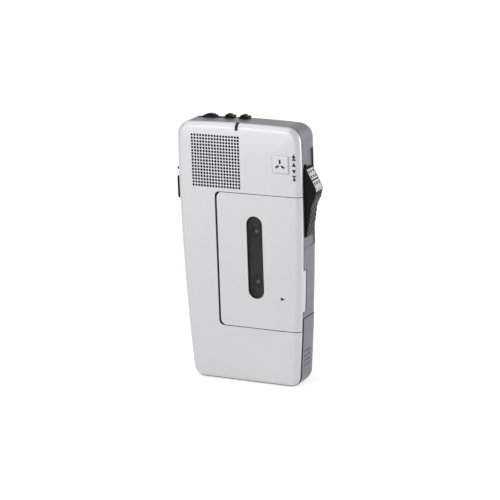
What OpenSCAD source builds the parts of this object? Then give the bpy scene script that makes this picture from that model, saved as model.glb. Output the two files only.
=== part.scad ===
/* [Case] */
// Height of the case, standing on its lower end
body_h = 126; // [110:1:140]
// Greatest width of the case
body_w = 64; // [58:0.5:72]
// Depth of the case from front to back
body_d = 22; // [20:0.5:26]
// How far the bowed long sides draw in towards the lower end
bow_drop = 4.4; // [3:0.1:7]
// Drop of the arched upper end at its corners
arch_drop = 0.9; // [0.3:0.1:2]
// Corner radius of the outline at the upper end
corner_top = 7; // [5:0.5:9]
// Corner radius of the outline at the lower end
corner_low = 5.5; // [4:0.5:8]
// Rounding of the front edge, also the depth of the front cover
front_round = 3; // [2.5:0.1:4]
// Depth of the rounding towards the back
back_round = 9; // [6:0.5:10]
// How far the back rounding draws in
back_draw = 7; // [4:0.5:8]
// Wall thickness of the mouldings
wall = 1.5; // [1.2:0.1:1.8]
// Hairline gap between mouldings
seam = 0.3; // [0.2:0.05:0.5]

/* [Speaker and microphone] */
// Holes along each side of the speaker grille
grille_n = 17; // [9:1:17]
// Spacing of the grille holes
grille_pitch = 1.5; // [1.3:0.05:1.6]
// Diameter of a grille hole
grille_d = 1.1; // [0.6:0.05:1.2]
// Distance of the grille's middle from the left side
grille_in = 20.65; // [18:0.05:23]
// Depth of the loudspeaker basket
speaker_h = 5.4; // [4:0.1:6]
// Width of the microphone plate
mic_w = 8.6; // [7:0.1:11]
// Distance of the microphone plate's middle from the right side
mic_in = 9.9; // [8:0.1:13]
// How far the microphone plate stands proud
mic_proud = 0.5; // [0.3:0.1:0.8]

/* [Cassette door] */
// Radius of the door's corners beside the hinge
door_r = 3; // [2:0.5:4]
// Wide gap along the hinge edge
hinge_gap = 1.0; // [1:0.1:1.5]
// How far the finger lip reaches back along the side
lip_d = 2.6; // [2:0.1:3.5]
// Width of the cassette window
window_w = 8; // [6:0.1:10]
// Diameter of the hinge pins
hinge_pin_d = 1; // [0.8:0.1:1.2]

/* [Slide control] */
// Length of the slide control
slide_l = 32.7; // [30:0.1:36]
// Width of the slide control from front to back
slide_w = 8; // [7:0.1:9]
// Height of its thumb hump above the side
slide_hump = 5.9; // [3.5:0.1:6.5]
// Travel upwards from rest
slide_up = 5; // [3:0.1:5.5]
// Travel downwards from rest
slide_down = 4.8; // [3:0.1:5]
// Depth of the track in the side
track_deep = 1.2; // [0.8:0.1:1.4]

/* [Battery cover] */
// How far the battery cover stands proud of the side
cover_proud = 0.35; // [0.2:0.05:0.5]

/* [Upper end controls] */
// Radius of the volume wheel
wheel_r = 6.6; // [6:0.1:7]
// Thickness of the volume wheel
wheel_t = 3; // [2:0.1:3.5]
// How far the wheel shows above the case
wheel_proud = 1.8; // [0.8:0.1:2.2]
// Distance of the volume wheel's middle from the left side
wheel_in = 13.05; // [12:0.05:14]
// Travel of an upper slide switch
switch_travel = 1.5; // [1:0.1:1.6]

/* [Side buttons] */
// Length of the long side button
button_l = 11.3; // [9:0.1:13]
// How far the side buttons stand proud
button_proud = 2.2; // [1:0.1:3]
// Travel of the side buttons
button_travel = 0.7; // [0.4:0.1:0.8]

/* [Tape drive] */
// Thickness of the metal deck plate
deck_t = 1.2; // [1:0.1:1.4]
// Radius of the reel tables
table_r = 5.4; // [5:0.1:5.6]
// Radius of the motor
motor_r = 7; // [6:0.1:7]
// Stroke of the head slide
head_stroke = 2.5; // [1.5:0.1:2.5]
// Play of a turning fit
fit = 0.05; // [0.02:0.01:0.08]

/* [Hidden] */
$fn = 48;
yf = -body_d / 2;
yb = body_d / 2;
split_y = yf + front_round;
inner_f = yf + wall;
inner_b = yb - wall;
eps = 0.01;
over = 2;
inner_d = body_d - 2 * wall;
bow_z = 0.7937 * body_h;

// Places on the front, along the sides and on the upper end
grille_x = grille_in - body_w / 2;
grille_z = 0.8522 * body_h;
speaker_d = 0.185 * body_h;
mic_x = body_w / 2 - mic_in;
mic_z = 0.8571 * body_h;
cassette_l = 0.3968 * body_h;
cassette_w = 0.5156 * body_w;
cassette_t = 0.421 * inner_d;
deck_x = 0.1197 * body_w;
deck_z = 0.4952 * body_h;
hub_pitch = 0.488 * cassette_l;
window_l = 0.798 * cassette_l;
bay_x0 = deck_x - cassette_w / 2;
bay_z0 = deck_z - cassette_l / 2;
door_x = bay_x0 - 2.65;
door_z0 = 0.2213 * body_h;
door_z1 = 0.7367 * body_h;
lip_z0 = 0.2943 * body_h;
lip_z1 = 0.4552 * body_h;
slide_z0 = 0.582 * body_h;
button_z0 = 0.69 * body_h;
wheel_x = wheel_in - body_w / 2;
switch_w = 5;
switch_a_x = wheel_x + wheel_r + 3.4;
switch_b_x = switch_a_x + switch_w + 2.8;

// Outline of the case seen from the front
side_steps = 8;
arc_steps = 6;
top_steps = 6;
function half_w(z) = body_w / 2 - bow_drop * pow(z / bow_z - 1, 2);
function top_z(x) = body_h - arch_drop * pow(2 * x / body_w, 2);
function arc(cx, cz, r, a0, a1) =
  [for (i = [0:arc_steps]) let (a = a0 + (a1 - a0) * i / arc_steps) [cx + r * cos(a), cz + r * sin(a)]];
function corner(r, t) = max(r, t + 1);
function outline(t) =
  let (
    rt = corner(corner_top, t),
    rl = corner(corner_low, t),
    xt = half_w(body_h - rt) - rt,
    zt = top_z(xt) - rt,
    xl = half_w(rl) - rl,
    right = [for (i = [0:side_steps]) let (z = rl + (zt - rl) * i / side_steps) [half_w(z) - t, z]],
    upper = [for (i = [1:top_steps - 1]) let (x = xt * (1 - 2 * i / top_steps)) [x, top_z(x) - t]],
    left = [for (i = [0:side_steps]) let (z = zt + (rl - zt) * i / side_steps) [t - half_w(z), z]]
  )
  concat(
    right, arc(xt, zt, rt - t, 10, 90), upper, arc(-xt, zt, rt - t, 90, 170), left,
    arc(-xl, rl, rl - t, 185, 270), arc(xl, rl, rl - t, 270, 355)
  );
// Rings of the outline from front to back, each as depth and inset
front_turns = [90, 67.5, 45, 22.5, 0];
back_turns = [0, 18, 36, 54, 72, 90];
function rings(t) =
  let (
    rf = front_round - min(t, front_round - 0.5),
    rb = back_round - t,
    db = back_draw - min(t, back_draw - 0.5)
  )
  concat(
    [for (a = front_turns) [yf + t + rf * (1 - sin(a)), t + rf * (1 - cos(a))]],
    [for (a = back_turns) [yb - t - rb * (1 - sin(a)), t + db * (1 - cos(a))]]
  );
// The case's form, drawn in by t on every side
module body_form(t) {
  levels = rings(t);
  last = len(levels) - 1;
  n = len(outline(0));
  points = concat(
    [for (v = levels, p = outline(v[1])) [p[0], v[0], p[1]]],
    [for (v = [levels[0], levels[last]]) [0, v[0], body_h / 2]]
  );
  front_mid = n * len(levels);
  faces = concat(
    [for (i = [0:last - 1], j = [0:n - 1]) [n * i + j, n * i + (j + 1) % n, n * (i + 1) + (j + 1) % n]],
    [for (i = [0:last - 1], j = [0:n - 1]) [n * i + j, n * (i + 1) + (j + 1) % n, n * (i + 1) + j]],
    [for (j = [0:n - 1]) [front_mid, (j + 1) % n, j]],
    [for (j = [0:n - 1]) [front_mid + 1, n * last + j, n * last + (j + 1) % n]]
  );
  polyhedron(points, faces);
}
// A box between two corners
module span(a, b) {
  translate(a) cube(b - a);
}
// A rod along Y between two depths
module rod(x, z, r, y0, y1) {
  translate([x, y1, z]) rotate([90, 0, 0]) cylinder(r = r, h = y1 - y0);
}
module ring(x, z, r, bore, y0, y1) {
  difference() {
    rod(x, z, r, y0, y1);
    rod(x, z, bore, y0 - over, y1 + over);
  }
}
// A rod along X between two places
module rod_x(y, z, r, x0, x1) {
  translate([x0, y, z]) rotate([0, 90, 0]) cylinder(r = r, h = x1 - x0);
}
// A rod along Z between two heights
module rod_z(x, y, r, z0, z1) {
  translate([x, y, z0]) cylinder(r = r, h = z1 - z0);
}

// Door plan, rounded beside the hinge, running off the right edge
module door_plan(x0, z0, z1, r) {
  far = body_w;
  translate([x0 + r, z0]) square([far, z1 - z0]);
  translate([x0, z0 + r]) square([r + eps, z1 - z0 - 2 * r]);
  translate([x0 + r, z0 + r]) circle(r);
  translate([x0 + r, z1 - r]) circle(r);
}
module door_prism(grow_x, grow_z, r, y0, y1) {
  translate([0, y1, 0]) rotate([90, 0, 0]) linear_extrude(y1 - y0)
    door_plan(door_x - grow_x, door_z0 - grow_z, door_z1 + grow_z, r);
}
module lip_block(grow) {
  span([body_w / 4, split_y - 2 * eps, lip_z0 - grow], [body_w, split_y + lip_d + grow, lip_z1 + grow]);
}
// Door hinge
hinge_x = door_x + 1;
hinge_y = inner_f - 0.1;
barrel_r = 0.95;
barrel_l = 5;
barrel_in = 1.2;
ear_r = 1.25;
ear_l = 2;

// Slide control and its track
slide_y = split_y + 1 + slide_w / 2;
side_x = half_w(slide_z0 + slide_l / 2);
track_floor = side_x - track_deep;
track_y0 = slide_y - slide_w / 2 - seam;
track_y1 = slide_y + slide_w / 2 + 4;
track_lo = slide_z0 - slide_down - 0.5;
track_hi = slide_z0 + slide_l + slide_up + 3;
track_wall = 1.4;
leg_z = slide_z0 + 0.81 * slide_l;
leg_w = 1.8;
leg_h = 4;
leg_x = track_floor - 6;

// Battery bay
cell_d = 0.1151 * body_h;
cell_r = cell_d / 2;
cell_y = inner_f + cell_r + 1.25;
cell_gap = 0.3;
cell_z0 = 4.75 + cell_r;
cell_z1 = cell_z0 + cell_d + cell_gap;
cell_x1 = body_w / 2 - 7;
cell_x0 = 6.5 - body_w / 2;
nub_r = 2.7;
nub_l = 1;
cover_x0 = body_w / 2 - 10;
cover_z1 = cell_z1 + cell_r - 0.4;
cover_y0 = split_y + 0.7;
cover_y1 = track_y1;

// Tape deck
bay_y0 = inner_f + 0.5;
bay_y1 = bay_y0 + cassette_t;
deck_pad = 0.0632 * inner_d;
deck_y0 = bay_y1 + deck_pad;
deck_y1 = deck_y0 + deck_t;
boss_r = 2.2;
boss_z = cell_z1 + cell_r + boss_r + 0.2;
deck_x0 = 6 - body_w / 2;
deck_x1 = body_w / 2 - 5;
deck_z0 = boss_z + boss_r + 0.3;
deck_z1 = door_z1 - 0.4;
hub_z = [deck_z - hub_pitch / 2, deck_z + hub_pitch / 2];
capstan_r = 1;
capstan_in = 2.5;
capstan_x = bay_x0 + capstan_in;
capstan_z = deck_z - 0.24 * cassette_l;
flywheel_r = cassette_w / 2 - capstan_in - table_r - 0.6;
wheel_y0 = deck_y1 + 0.4;
wheel_y1 = wheel_y0 + 1.4;
belt_y0 = wheel_y1 + 0.5;
belt_y1 = belt_y0 + 1.2;
rim_gap = 0.12;
reach = norm([deck_x - capstan_x, hub_z[1] - capstan_z]);
idler_r = (reach - flywheel_r - table_r - 2 * rim_gap) / 2;
idler_f = (flywheel_r + rim_gap + idler_r) / reach;
idler_x = capstan_x + (deck_x - capstan_x) * idler_f;
idler_z = capstan_z + (hub_z[1] - capstan_z) * idler_f;
motor_x = motor_r + 5.4 - body_w / 2;
motor_z = deck_z1 - motor_r - 0.4;
motor_h = 0.4526 * inner_d;
pulley_r = 1.8;
groove = 0.6;
bush_r = 2.3;
spindle_r = 1.1;
post_r = 2.2;
post_step = 1.2;
post_in = 2.3;
deck_posts = [
  [deck_x0 + 2, deck_z0 + post_in], [deck_x1 - 3.5, deck_z0 + post_in],
  [bay_x0 + 0.7, deck_z1 - post_in], [deck_x1 - 3.5, deck_z1 - post_in]
];
screw_r = 1;
screw_head_r = 1.8;
case_posts = [
  [8 - body_w / 2, deck_z1 + boss_r + 0.2], [body_w / 2 - 22, body_h - 9], [10 - body_w / 2, boss_z]
];

// Heads on their slide
head_plate_t = 0.7;
head_y1 = deck_y0 - 0.2;
head_y0 = head_y1 - head_plate_t;
head_face = bay_x0 - 0.4 - head_stroke;
head_edge = head_face - 0.3;
head_l = 0.172 * body_w;
head_tail = head_edge - head_l;
head_top = motor_z - motor_r - 0.9;
erase_z = deck_z + 0.22 * cassette_l;
erase_h = 0.088 * cassette_l;
roller_r = 2.6;
roller_x = capstan_x - capstan_r - roller_r - 0.2 - head_stroke;

// Circuit board
board_t = 1;
board_y1 = inner_b - 0.1105 * inner_d;
board_y0 = board_y1 - board_t;
board_z0 = deck_z0 + seam;
board_z1 = body_h - 5.5;
board_cut = 7;
board_wide_z = 0.667 * body_h;
board_w0 = 2 * (deck_x1 - 3.5 - post_r - 0.8);
board_w1 = body_w - 8;

// Upper end controls
wheel_y = 1;
wheel_z = top_z(wheel_x) + wheel_proud - wheel_r;
shaft_r = 1.2;
pot_r = 2;
switch_d = 4;
switch_y = 1;
stem_w = 1.6;
stem_d = 1.4;
stem_z0 = body_h - 4 - wall;

// Side buttons
button_y = split_y + 2.2;
button_d = 2.8;
nub_btn_r = 0.8;
nub_z = button_z0 + button_l + 3.4;
button_x = -half_w(button_z0 + button_l / 2);
flange_t = 0.7;
flange_w = 0.6;
flange_in = wall + 0.4;

// Socket for an earphone
jack_r = 1.75;
jack_z = wheel_z - 10.35;
jack_y = 1;
jack_nut_r = 3;

// Light pipe over the upper edge
pipe_x = switch_b_x + 1.05;
pipe_w = 1.5;
pipe_z0 = body_h - 3.4;

module case_skin() {
  difference() {
    body_form(0);
    body_form(wall);
  }
}
module mic_slots() {
  slot_w = 0.85;
  slot_l = 2.05;
  slot_r = 1.6;
  for (a = [90, 210, 330]) translate([mic_x + slot_r * cos(a), yf, mic_z + slot_r * sin(a)])
    rotate([0, -a, 0]) {
      cube([slot_l - slot_w, 4 * wall, slot_w], center = true);
      for (s = [-1, 1]) translate([s * (slot_l - slot_w) / 2, 0, 0]) rotate([90, 0, 0])
        cylinder(d = slot_w, h = 4 * wall, center = true);
    }
}
module grille_holes() {
  half = (grille_n - 1) / 2;
  for (i = [-half:half], k = [-half:half])
    rod(grille_x + i * grille_pitch, grille_z + k * grille_pitch, grille_d / 2, yf - over, inner_f + over);
}
module pipe_slot(grow) {
  x0 = pipe_x - pipe_w / 2 - grow;
  span([x0, yf - over, pipe_z0 - grow], [x0 + pipe_w + 2 * grow, split_y, body_h + over]);
}
module front_shell() {
  color("Gainsboro") {
    difference() {
      union() {
        difference() {
          case_skin();
          span([-body_w, split_y, -over], [body_w, yb + over, body_h + over]);
          door_prism(hinge_gap, seam, door_r - 2 * seam, yf - over, yb);
          pipe_slot(fit);
        }
        hinge_ear(door_z1 + seam);
        hinge_ear(door_z0 - seam - ear_l);
      }
      grille_holes();
      rod(mic_x, mic_z, mic_hole_r, yf - over, inner_f + over);
      rod_z(hinge_x, hinge_y, hinge_pin_d / 2, door_z0 - seam - ear_l, door_z0 + barrel_in);
      rod_z(hinge_x, hinge_y, hinge_pin_d / 2, door_z1 - barrel_in, door_z1 + seam + ear_l);
    }
    for (p = case_posts) ring(p[0], p[1], boss_r, screw_r + fit, inner_f - wall / 2, inner_b - post_step);
  }
}
module hinge_ear(z0) {
  span([hinge_x - ear_r, inner_f - wall / 2, z0], [hinge_x + ear_r, hinge_y + ear_r, z0 + ear_l]);
}
module rear_shell() {
  top_lo = body_h - 4 * wall;
  color("LightSteelBlue") {
    difference() {
      union() {
        case_skin();
        span([track_floor - track_wall, track_y0 - 1, track_lo - 1],
          [side_x - 2 * wall / 3, track_y1 + 1, track_hi + 1]);
      }
      span([-body_w, yf - over, -over], [body_w, split_y, body_h + over]);
      lip_block(seam);
      span([track_floor, track_y0, track_lo], [body_w, track_y1, track_hi]);
      span([leg_x, slide_y - leg_w / 2 - seam, leg_z - leg_h / 2 - slide_down - seam],
        [body_w, slide_y + leg_w / 2 + seam, leg_z + leg_h / 2 + slide_up + seam]);
      cover_region(seam);
      span([wheel_x - wheel_r - seam, wheel_y - wheel_t / 2 - seam, top_lo],
        [wheel_x + wheel_r + seam, wheel_y + wheel_t / 2 + seam, body_h + over]);
      for (x = [switch_a_x, switch_b_x])
        span([x - stem_w / 2 - seam, switch_y - stem_d / 2 - seam, top_lo],
          [x + stem_w / 2 + switch_travel + seam, switch_y + stem_d / 2 + seam, body_h + over]);
      span([-body_w, button_y - button_d / 2 - seam, button_z0 - seam],
        [button_x + 2 * wall, button_y + button_d / 2 + seam, button_z0 + button_l + seam]);
      rod_x(button_y, nub_z, nub_btn_r + seam, -body_w, button_x + 2 * wall);
      rod_x(jack_y, jack_z, jack_nut_r + fit, -body_w, button_x + 2 * wall);
      for (p = case_posts) {
        rod(p[0], p[1], screw_r + fit, inner_b - over, yb + over);
        rod(p[0], p[1], screw_head_r + seam, yb - wall / 2, yb + over);
      }
    }
    for (p = deck_posts) ring(p[0], p[1], post_r, screw_r + fit, deck_y1, inner_b + wall / 2);
    for (p = case_posts) ring(p[0], p[1], boss_r, screw_r + fit, inner_b - post_step, inner_b + wall / 4);
  }
}
// Side piece cut out of the rear shell for the battery cover
module cover_region(grow) {
  span([cover_x0 - grow, cover_y0 - 2 * grow, -over], [body_w, cover_y1 + grow, cover_z1 + grow]);
}
module window_plan(grow) {
  r = window_w / 2 + grow;
  run = window_l / 2 - window_w / 2;
  translate([deck_x - r, deck_z - run]) square([2 * r, 2 * run]);
  for (s = [-1, 1]) translate([deck_x, deck_z + s * run]) circle(r);
}
module window_prism(grow, y0, y1) {
  translate([0, y1, 0]) rotate([90, 0, 0]) linear_extrude(y1 - y0) window_plan(grow);
}
window_edge = 0.8;
window_step = 0.8;
module cassette_door() {
  color("Gainsboro") {
    difference() {
      intersection() {
        body_form(0);
        union() {
          door_prism(0, 0, door_r, yf - over, split_y);
          lip_block(0);
        }
      }
      body_form(wall);
      window_prism(fit, yf - over, inner_f + over);
      window_prism(window_edge + fit, yf + window_step, inner_f + over);
      hinge_bore(door_z0);
      hinge_bore(door_z1 - barrel_l - barrel_in);
    }
    hinge_barrel(door_z0 + barrel_in);
    hinge_barrel(door_z1 - barrel_l - barrel_in);
  }
}
module hinge_bore(z0) {
  rod_z(hinge_x, hinge_y, hinge_pin_d / 2 + fit, z0 - eps, z0 + barrel_l + barrel_in + eps);
}
module hinge_barrel(z0) {
  difference() {
    rod_z(hinge_x, hinge_y, barrel_r, z0, z0 + barrel_l);
    rod_z(hinge_x, hinge_y, hinge_pin_d / 2 + fit, z0 - over, z0 + barrel_l + over);
    span([door_x - over, yf - over, z0 - over], [hinge_x + over, inner_f - wall / 2, z0 + barrel_l + over]);
  }
}
module door_window() {
  color("DarkSlateGray") {
    window_prism(0, yf + 0.2, yf + window_step + fit);
    window_prism(window_edge, yf + window_step, inner_f);
  }
}
module hinge_pins() {
  color("Silver") {
    rod_z(hinge_x, hinge_y, hinge_pin_d / 2, door_z0 - seam - ear_l, door_z0 + barrel_in + barrel_l - seam);
    rod_z(hinge_x, hinge_y, hinge_pin_d / 2, door_z1 - barrel_in - barrel_l + seam, door_z1 + seam + ear_l);
  }
}
// Leaf on the deck that holds the door's free edge shut
catch_t = 0.4;
catch_z = deck_z0 + 6.35;
catch_x1 = half_w(catch_z - 2) - wall - seam;
module door_catch() {
  color("Goldenrod") {
    span([catch_x1 - catch_t, split_y + lip_d / 2, catch_z - 2], [catch_x1, deck_y0, catch_z + 2]);
    span([deck_x1 - 3.5, deck_y0 - catch_t, catch_z - 2], [catch_x1, deck_y0, catch_z + 2]);
  }
}
module battery_cover() {
  dimple_d = 1.1;
  dimple_pitch = 2.4;
  color("LightSteelBlue") difference() {
    intersection() {
      body_form(-cover_proud);
      span([cover_x0, cover_y0, 0], [body_w, cover_y1, cover_z1]);
    }
    body_form(wall);
    for (i = [0:2], k = [0:3]) let (z = 0.3 * cover_z1 + k * dimple_pitch)
      rod_x(cover_y0 + 2.4 + i * dimple_pitch, z, dimple_d / 2, half_w(z), half_w(z) + over);
  }
}
// Strip in the cover that joins the two cells, with a stud for each
strip_t = 0.35;
strip_w = 6;
stud_r = 1.5;
strip_z0 = cell_z0 - nub_r;
strip_z1 = cell_z1 + nub_r;
function strip_end(z) = half_w(z) - wall - strip_t - 0.1;
function strip_x(z) =
  strip_end(strip_z0) + (strip_end(strip_z1) - strip_end(strip_z0)) * (z - strip_z0) / (strip_z1 - strip_z0);
module cover_contact() {
  x0 = strip_end(strip_z0);
  x1 = strip_end(strip_z1);
  color("Gold") {
    translate([0, cell_y + strip_w / 2, 0]) rotate([90, 0, 0]) linear_extrude(strip_w)
      polygon([[x0, strip_z0], [x0 + strip_t, strip_z0], [x1 + strip_t, strip_z1], [x1, strip_z1]]);
    for (z = [cell_z0, cell_z1]) rod_x(cell_y, z, stud_r, cell_x1 + 0.1, strip_x(z) + strip_t / 2);
  }
}
module cell(z, x0, x1, nub_x0, nub_x1) {
  rod_x(cell_y, z, cell_r, x0, x1);
  rod_x(cell_y, z, nub_r, nub_x0, nub_x1);
}
module battery_cells() {
  color("DarkOrange") {
    cell(cell_z0, cell_x0 + nub_l, cell_x1, cell_x0, cell_x0 + nub_l + eps);
    cell(cell_z1, cell_x0, cell_x1 - nub_l, cell_x1 - nub_l - eps, cell_x1);
  }
}
// One contact for each cell, standing on the left wall
module bay_contacts() {
  color("Gold") for (z = [cell_z0, cell_z1])
    rod_x(cell_y, z, nub_r, 0.15 + wall - half_w(z - nub_r), cell_x0 - 0.05);
}
// Side view of the slide control, as height above the side along its length
hump_z = 0.705 * slide_l;
slide_foot = 0.5;
slide_end = 1.1;
function slide_profile() = [
  [track_floor + seam, slide_z0], [side_x + slide_foot, slide_z0],
  [side_x + 0.22 * slide_hump, slide_z0 + 0.13 * slide_l],
  [side_x + 0.35 * slide_hump, slide_z0 + 0.25 * slide_l],
  [side_x + 0.43 * slide_hump, slide_z0 + 0.35 * slide_l],
  [side_x + 0.51 * slide_hump, slide_z0 + 0.435 * slide_l],
  [side_x + 0.65 * slide_hump, slide_z0 + 0.5 * slide_l],
  [side_x + 0.83 * slide_hump, slide_z0 + 0.56 * slide_l],
  [side_x + 0.97 * slide_hump, slide_z0 + hump_z - 1.6], [side_x + slide_hump, slide_z0 + hump_z - 0.4],
  [side_x + 0.95 * slide_hump, slide_z0 + hump_z + 0.9],
  [side_x + slide_end, slide_z0 + slide_l], [track_floor + seam, slide_z0 + slide_l]
];
// Silver pad let into the upper slope of the hump
pad_t = 0.6;
pad_edge = 0.5;
pad_top = [side_x + slide_end, slide_z0 + slide_l];
pad_low = [side_x + 0.95 * slide_hump, slide_z0 + hump_z + 0.9];
pad_dir = (pad_top - pad_low) / norm(pad_top - pad_low);
pad_in = [-pad_dir[1], pad_dir[0]];
function pad_profile() = [
  pad_low + pad_dir * 0.2, pad_top - pad_dir * 0.6,
  pad_top - pad_dir * 0.6 + pad_in * pad_t, pad_low + pad_dir * 0.2 + pad_in * pad_t
];
module slide_extrude(w, pts) {
  translate([0, slide_y + w / 2, 0]) rotate([90, 0, 0]) linear_extrude(w) polygon(pts);
}
module slide_control() {
  color("DimGray") {
    difference() {
      slide_extrude(slide_w, slide_profile());
      slide_extrude(slide_w - 2 * pad_edge, pad_profile());
    }
    span([leg_x, slide_y - leg_w / 2, leg_z - leg_h / 2],
      [track_floor + seam + 0.2, slide_y + leg_w / 2, leg_z + leg_h / 2]);
  }
}
module slide_pad() {
  dot_d = 1;
  dot_pitch = 2.1;
  rows = [0.2, 0.4, 0.72];
  run = norm(pad_top - pad_low);
  color("Silver") difference() {
    slide_extrude(slide_w - 2 * pad_edge, pad_profile());
    for (k = rows, i = [-1:1]) let (p = pad_top - pad_dir * run * k)
      translate([p[0], slide_y + i * dot_pitch, p[1]])
        rotate([0, 90 - atan2(-pad_in[1], -pad_in[0]), 0])
          cylinder(d = dot_d, h = pad_t, center = true);
  }
}
// Switch worked by the slide control's leg
module main_switch() {
  z0 = deck_z1 + 0.65;
  z1 = leg_z + leg_h / 2 + slide_up + 1.2;
  color("SlateGray") difference() {
    span([leg_x - 4, slide_y - leg_w / 2 - seam - 1, z0], [leg_x + 1.2, board_y0, z1]);
    span([leg_x - 0.4, slide_y - leg_w / 2 - seam, z0 - over],
      [leg_x + over, slide_y + leg_w / 2 + seam, z1 + over]);
  }
}
module volume_wheel() {
  knurls = 30;
  knurl_r = 0.4;
  knurl_out = 0.15;
  color("Black") {
    difference() {
      rod(wheel_x, wheel_z, wheel_r, wheel_y - wheel_t / 2, wheel_y + wheel_t / 2);
      for (i = [0:knurls - 1]) rotate_at(wheel_x, wheel_z, 360 * i / knurls)
        translate([wheel_r + knurl_out, 0, 0]) rotate([90, 0, 0])
          cylinder(r = knurl_r, h = 2 * wheel_t, center = true);
    }
    rod(wheel_x, wheel_z, shaft_r, wheel_y, wheel_y + wheel_t / 2 + 2.4);
  }
}
module rotate_at(x, z, a) {
  translate([x, wheel_y, z]) rotate([0, -a, 0]) children();
}
module volume_pot() {
  color("DarkGreen")
    ring(wheel_x, wheel_z, pot_r, shaft_r + fit, wheel_y + wheel_t / 2 + 0.3, board_y0);
}
// Ridged knob of an upper switch, with a lower step on its right
module switch_knob(x) {
  z = top_z(x) + 0.2;
  base = 0.6;
  low = 1;
  high = 1.7;
  ridge_w = 0.6;
  ridge_pitch = 1;
  edge = 0.2;
  step_w = 1.5;
  x0 = x - switch_w / 2;
  x1 = x + switch_w / 2;
  y0 = switch_y - switch_d / 2;
  y1 = switch_y + switch_d / 2;
  color("Black") {
    span([x0, y0, z], [x1, y1, z + base]);
    for (i = [0:2]) let (r0 = x0 + edge + i * ridge_pitch)
      span([r0, y0, z], [r0 + ridge_w, y1, z + high - abs(i - 1) / 4]);
    span([x1 - edge - step_w, y0, z], [x1 - edge, y1, z + low]);
    span([x - stem_w / 2, switch_y - stem_d / 2, stem_z0],
      [x + stem_w / 2, switch_y + stem_d / 2, z + base / 2]);
  }
}
module switch_knob_left() {
  switch_knob(switch_a_x);
}
module switch_knob_right() {
  switch_knob(switch_b_x);
}
module switch_bodies() {
  z1 = body_h - arch_drop - wall - 0.8;
  floor_z = stem_z0 - seam;
  side = 1;
  color("DarkSlateGray") for (x = [switch_a_x, switch_b_x]) difference() {
    span([x - stem_w / 2 - side, switch_y - stem_d / 2 - side, floor_z - side],
      [x + stem_w / 2 + switch_travel + side, board_y0, z1]);
    span([x - stem_w / 2 - seam, switch_y - stem_d / 2 - seam, floor_z],
      [x + stem_w / 2 + switch_travel + seam, switch_y + stem_d / 2 + seam, z1 + over]);
  }
}
module record_button() {
  z1 = button_z0 + button_l;
  color("Black") {
    span([button_x - button_proud, button_y - button_d / 2, button_z0],
      [button_x + flange_in + eps, button_y + button_d / 2, z1]);
    span([button_x + flange_in, button_y - button_d / 2 - flange_w, button_z0 - flange_w],
      [button_x + flange_in + flange_t, button_y + button_d / 2 + flange_w, z1 + flange_w]);
  }
}
module index_button() {
  x0 = -half_w(nub_z);
  color("Black") {
    rod_x(button_y, nub_z, nub_btn_r, x0 - button_proud, x0 + flange_in + eps);
    rod_x(button_y, nub_z, nub_btn_r + flange_w, x0 + flange_in, x0 + flange_in + flange_t);
  }
}
module side_switches() {
  x0 = button_x + flange_in + flange_t + button_travel + seam;
  body_t = 1.8;
  color("SlateGray")
    span([x0, button_y - button_d / 2, button_z0 + 1], [x0 + body_t, board_y0, nub_z + nub_btn_r]);
}
module earphone_jack() {
  x0 = -half_w(jack_z);
  body_x = x0 + wall + 1.4;
  body_l = 4.6;
  half = jack_nut_r + 0.3;
  end_t = 1;
  color("DimGray") difference() {
    union() {
      rod_x(jack_y, jack_z, jack_nut_r, x0 + fit, body_x + end_t);
      span([body_x, jack_y - half, jack_z - half], [body_x + body_l, board_y0, jack_z + half]);
    }
    rod_x(jack_y, jack_z, jack_r, x0 - over, body_x + body_l - end_t);
  }
}
module light_pipe() {
  color("DarkRed") intersection() {
    case_skin();
    pipe_slot(0);
  }
}
lamp_r = 1.2;
module record_lamp() {
  z1 = top_z(pipe_x) - wall - 0.5;
  color("Red") rod_z(pipe_x, inner_f + 0.4 + lamp_r, lamp_r, z1 - 3, z1);
}
// Bevelled square plate let onto the front, with three sound slots
mic_bevel = 0.5;
mic_hole_r = 2.8;
module mic_plate() {
  h = mic_w - 0.3;
  color("Gainsboro") difference() {
    hull() {
      translate([mic_x, yf - eps, mic_z]) cube([mic_w, 2 * eps, h], center = true);
      translate([mic_x, yf - mic_proud, mic_z])
        cube([mic_w - 2 * mic_bevel, 2 * eps, h - 2 * mic_bevel], center = true);
    }
    mic_slots();
  }
}
module mic_capsule() {
  color("Silver") rod(mic_x, mic_z, 3, inner_f + 0.1, inner_f + 4);
}
gasket_t = 0.5;
speaker_y0 = inner_f + gasket_t;
module speaker_gasket() {
  color("Black") ring(grille_x, grille_z, speaker_d / 2, speaker_d / 2 - 1.5, inner_f, speaker_y0);
}
module speaker_frame() {
  r = speaker_d / 2;
  magnet_r = 0.4 * r;
  color("Silver") translate([grille_x, speaker_y0, grille_z]) rotate([-90, 0, 0]) rotate_extrude()
    polygon([
      [r - 1.6, 0], [r, 0], [r, 0.8], [r - 1, 0.8], [magnet_r + 1.2, speaker_h - 1.2],
      [magnet_r + 1.2, speaker_h], [magnet_r, speaker_h], [magnet_r, speaker_h - 2.2]
    ]);
}
module speaker_cone() {
  r = speaker_d / 2 - 1.7;
  low = 0.35 * speaker_d / 2;
  deep = speaker_h - 2.9;
  paper_t = 0.3;
  color("DarkKhaki") translate([grille_x, speaker_y0, grille_z]) rotate([-90, 0, 0]) rotate_extrude()
    polygon([
      [0, deep], [low, deep], [r, 0], [r, -paper_t], [r - 1.5, -paper_t],
      [low - 1, deep - 0.5], [0, deep - 0.8]
    ]);
}
module speaker_magnet() {
  y1 = speaker_y0 + speaker_h;
  color("Gray") rod(grille_x, grille_z, 0.2 * speaker_d - fit, y1 - 2.2, y1 + 0.6);
}
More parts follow.
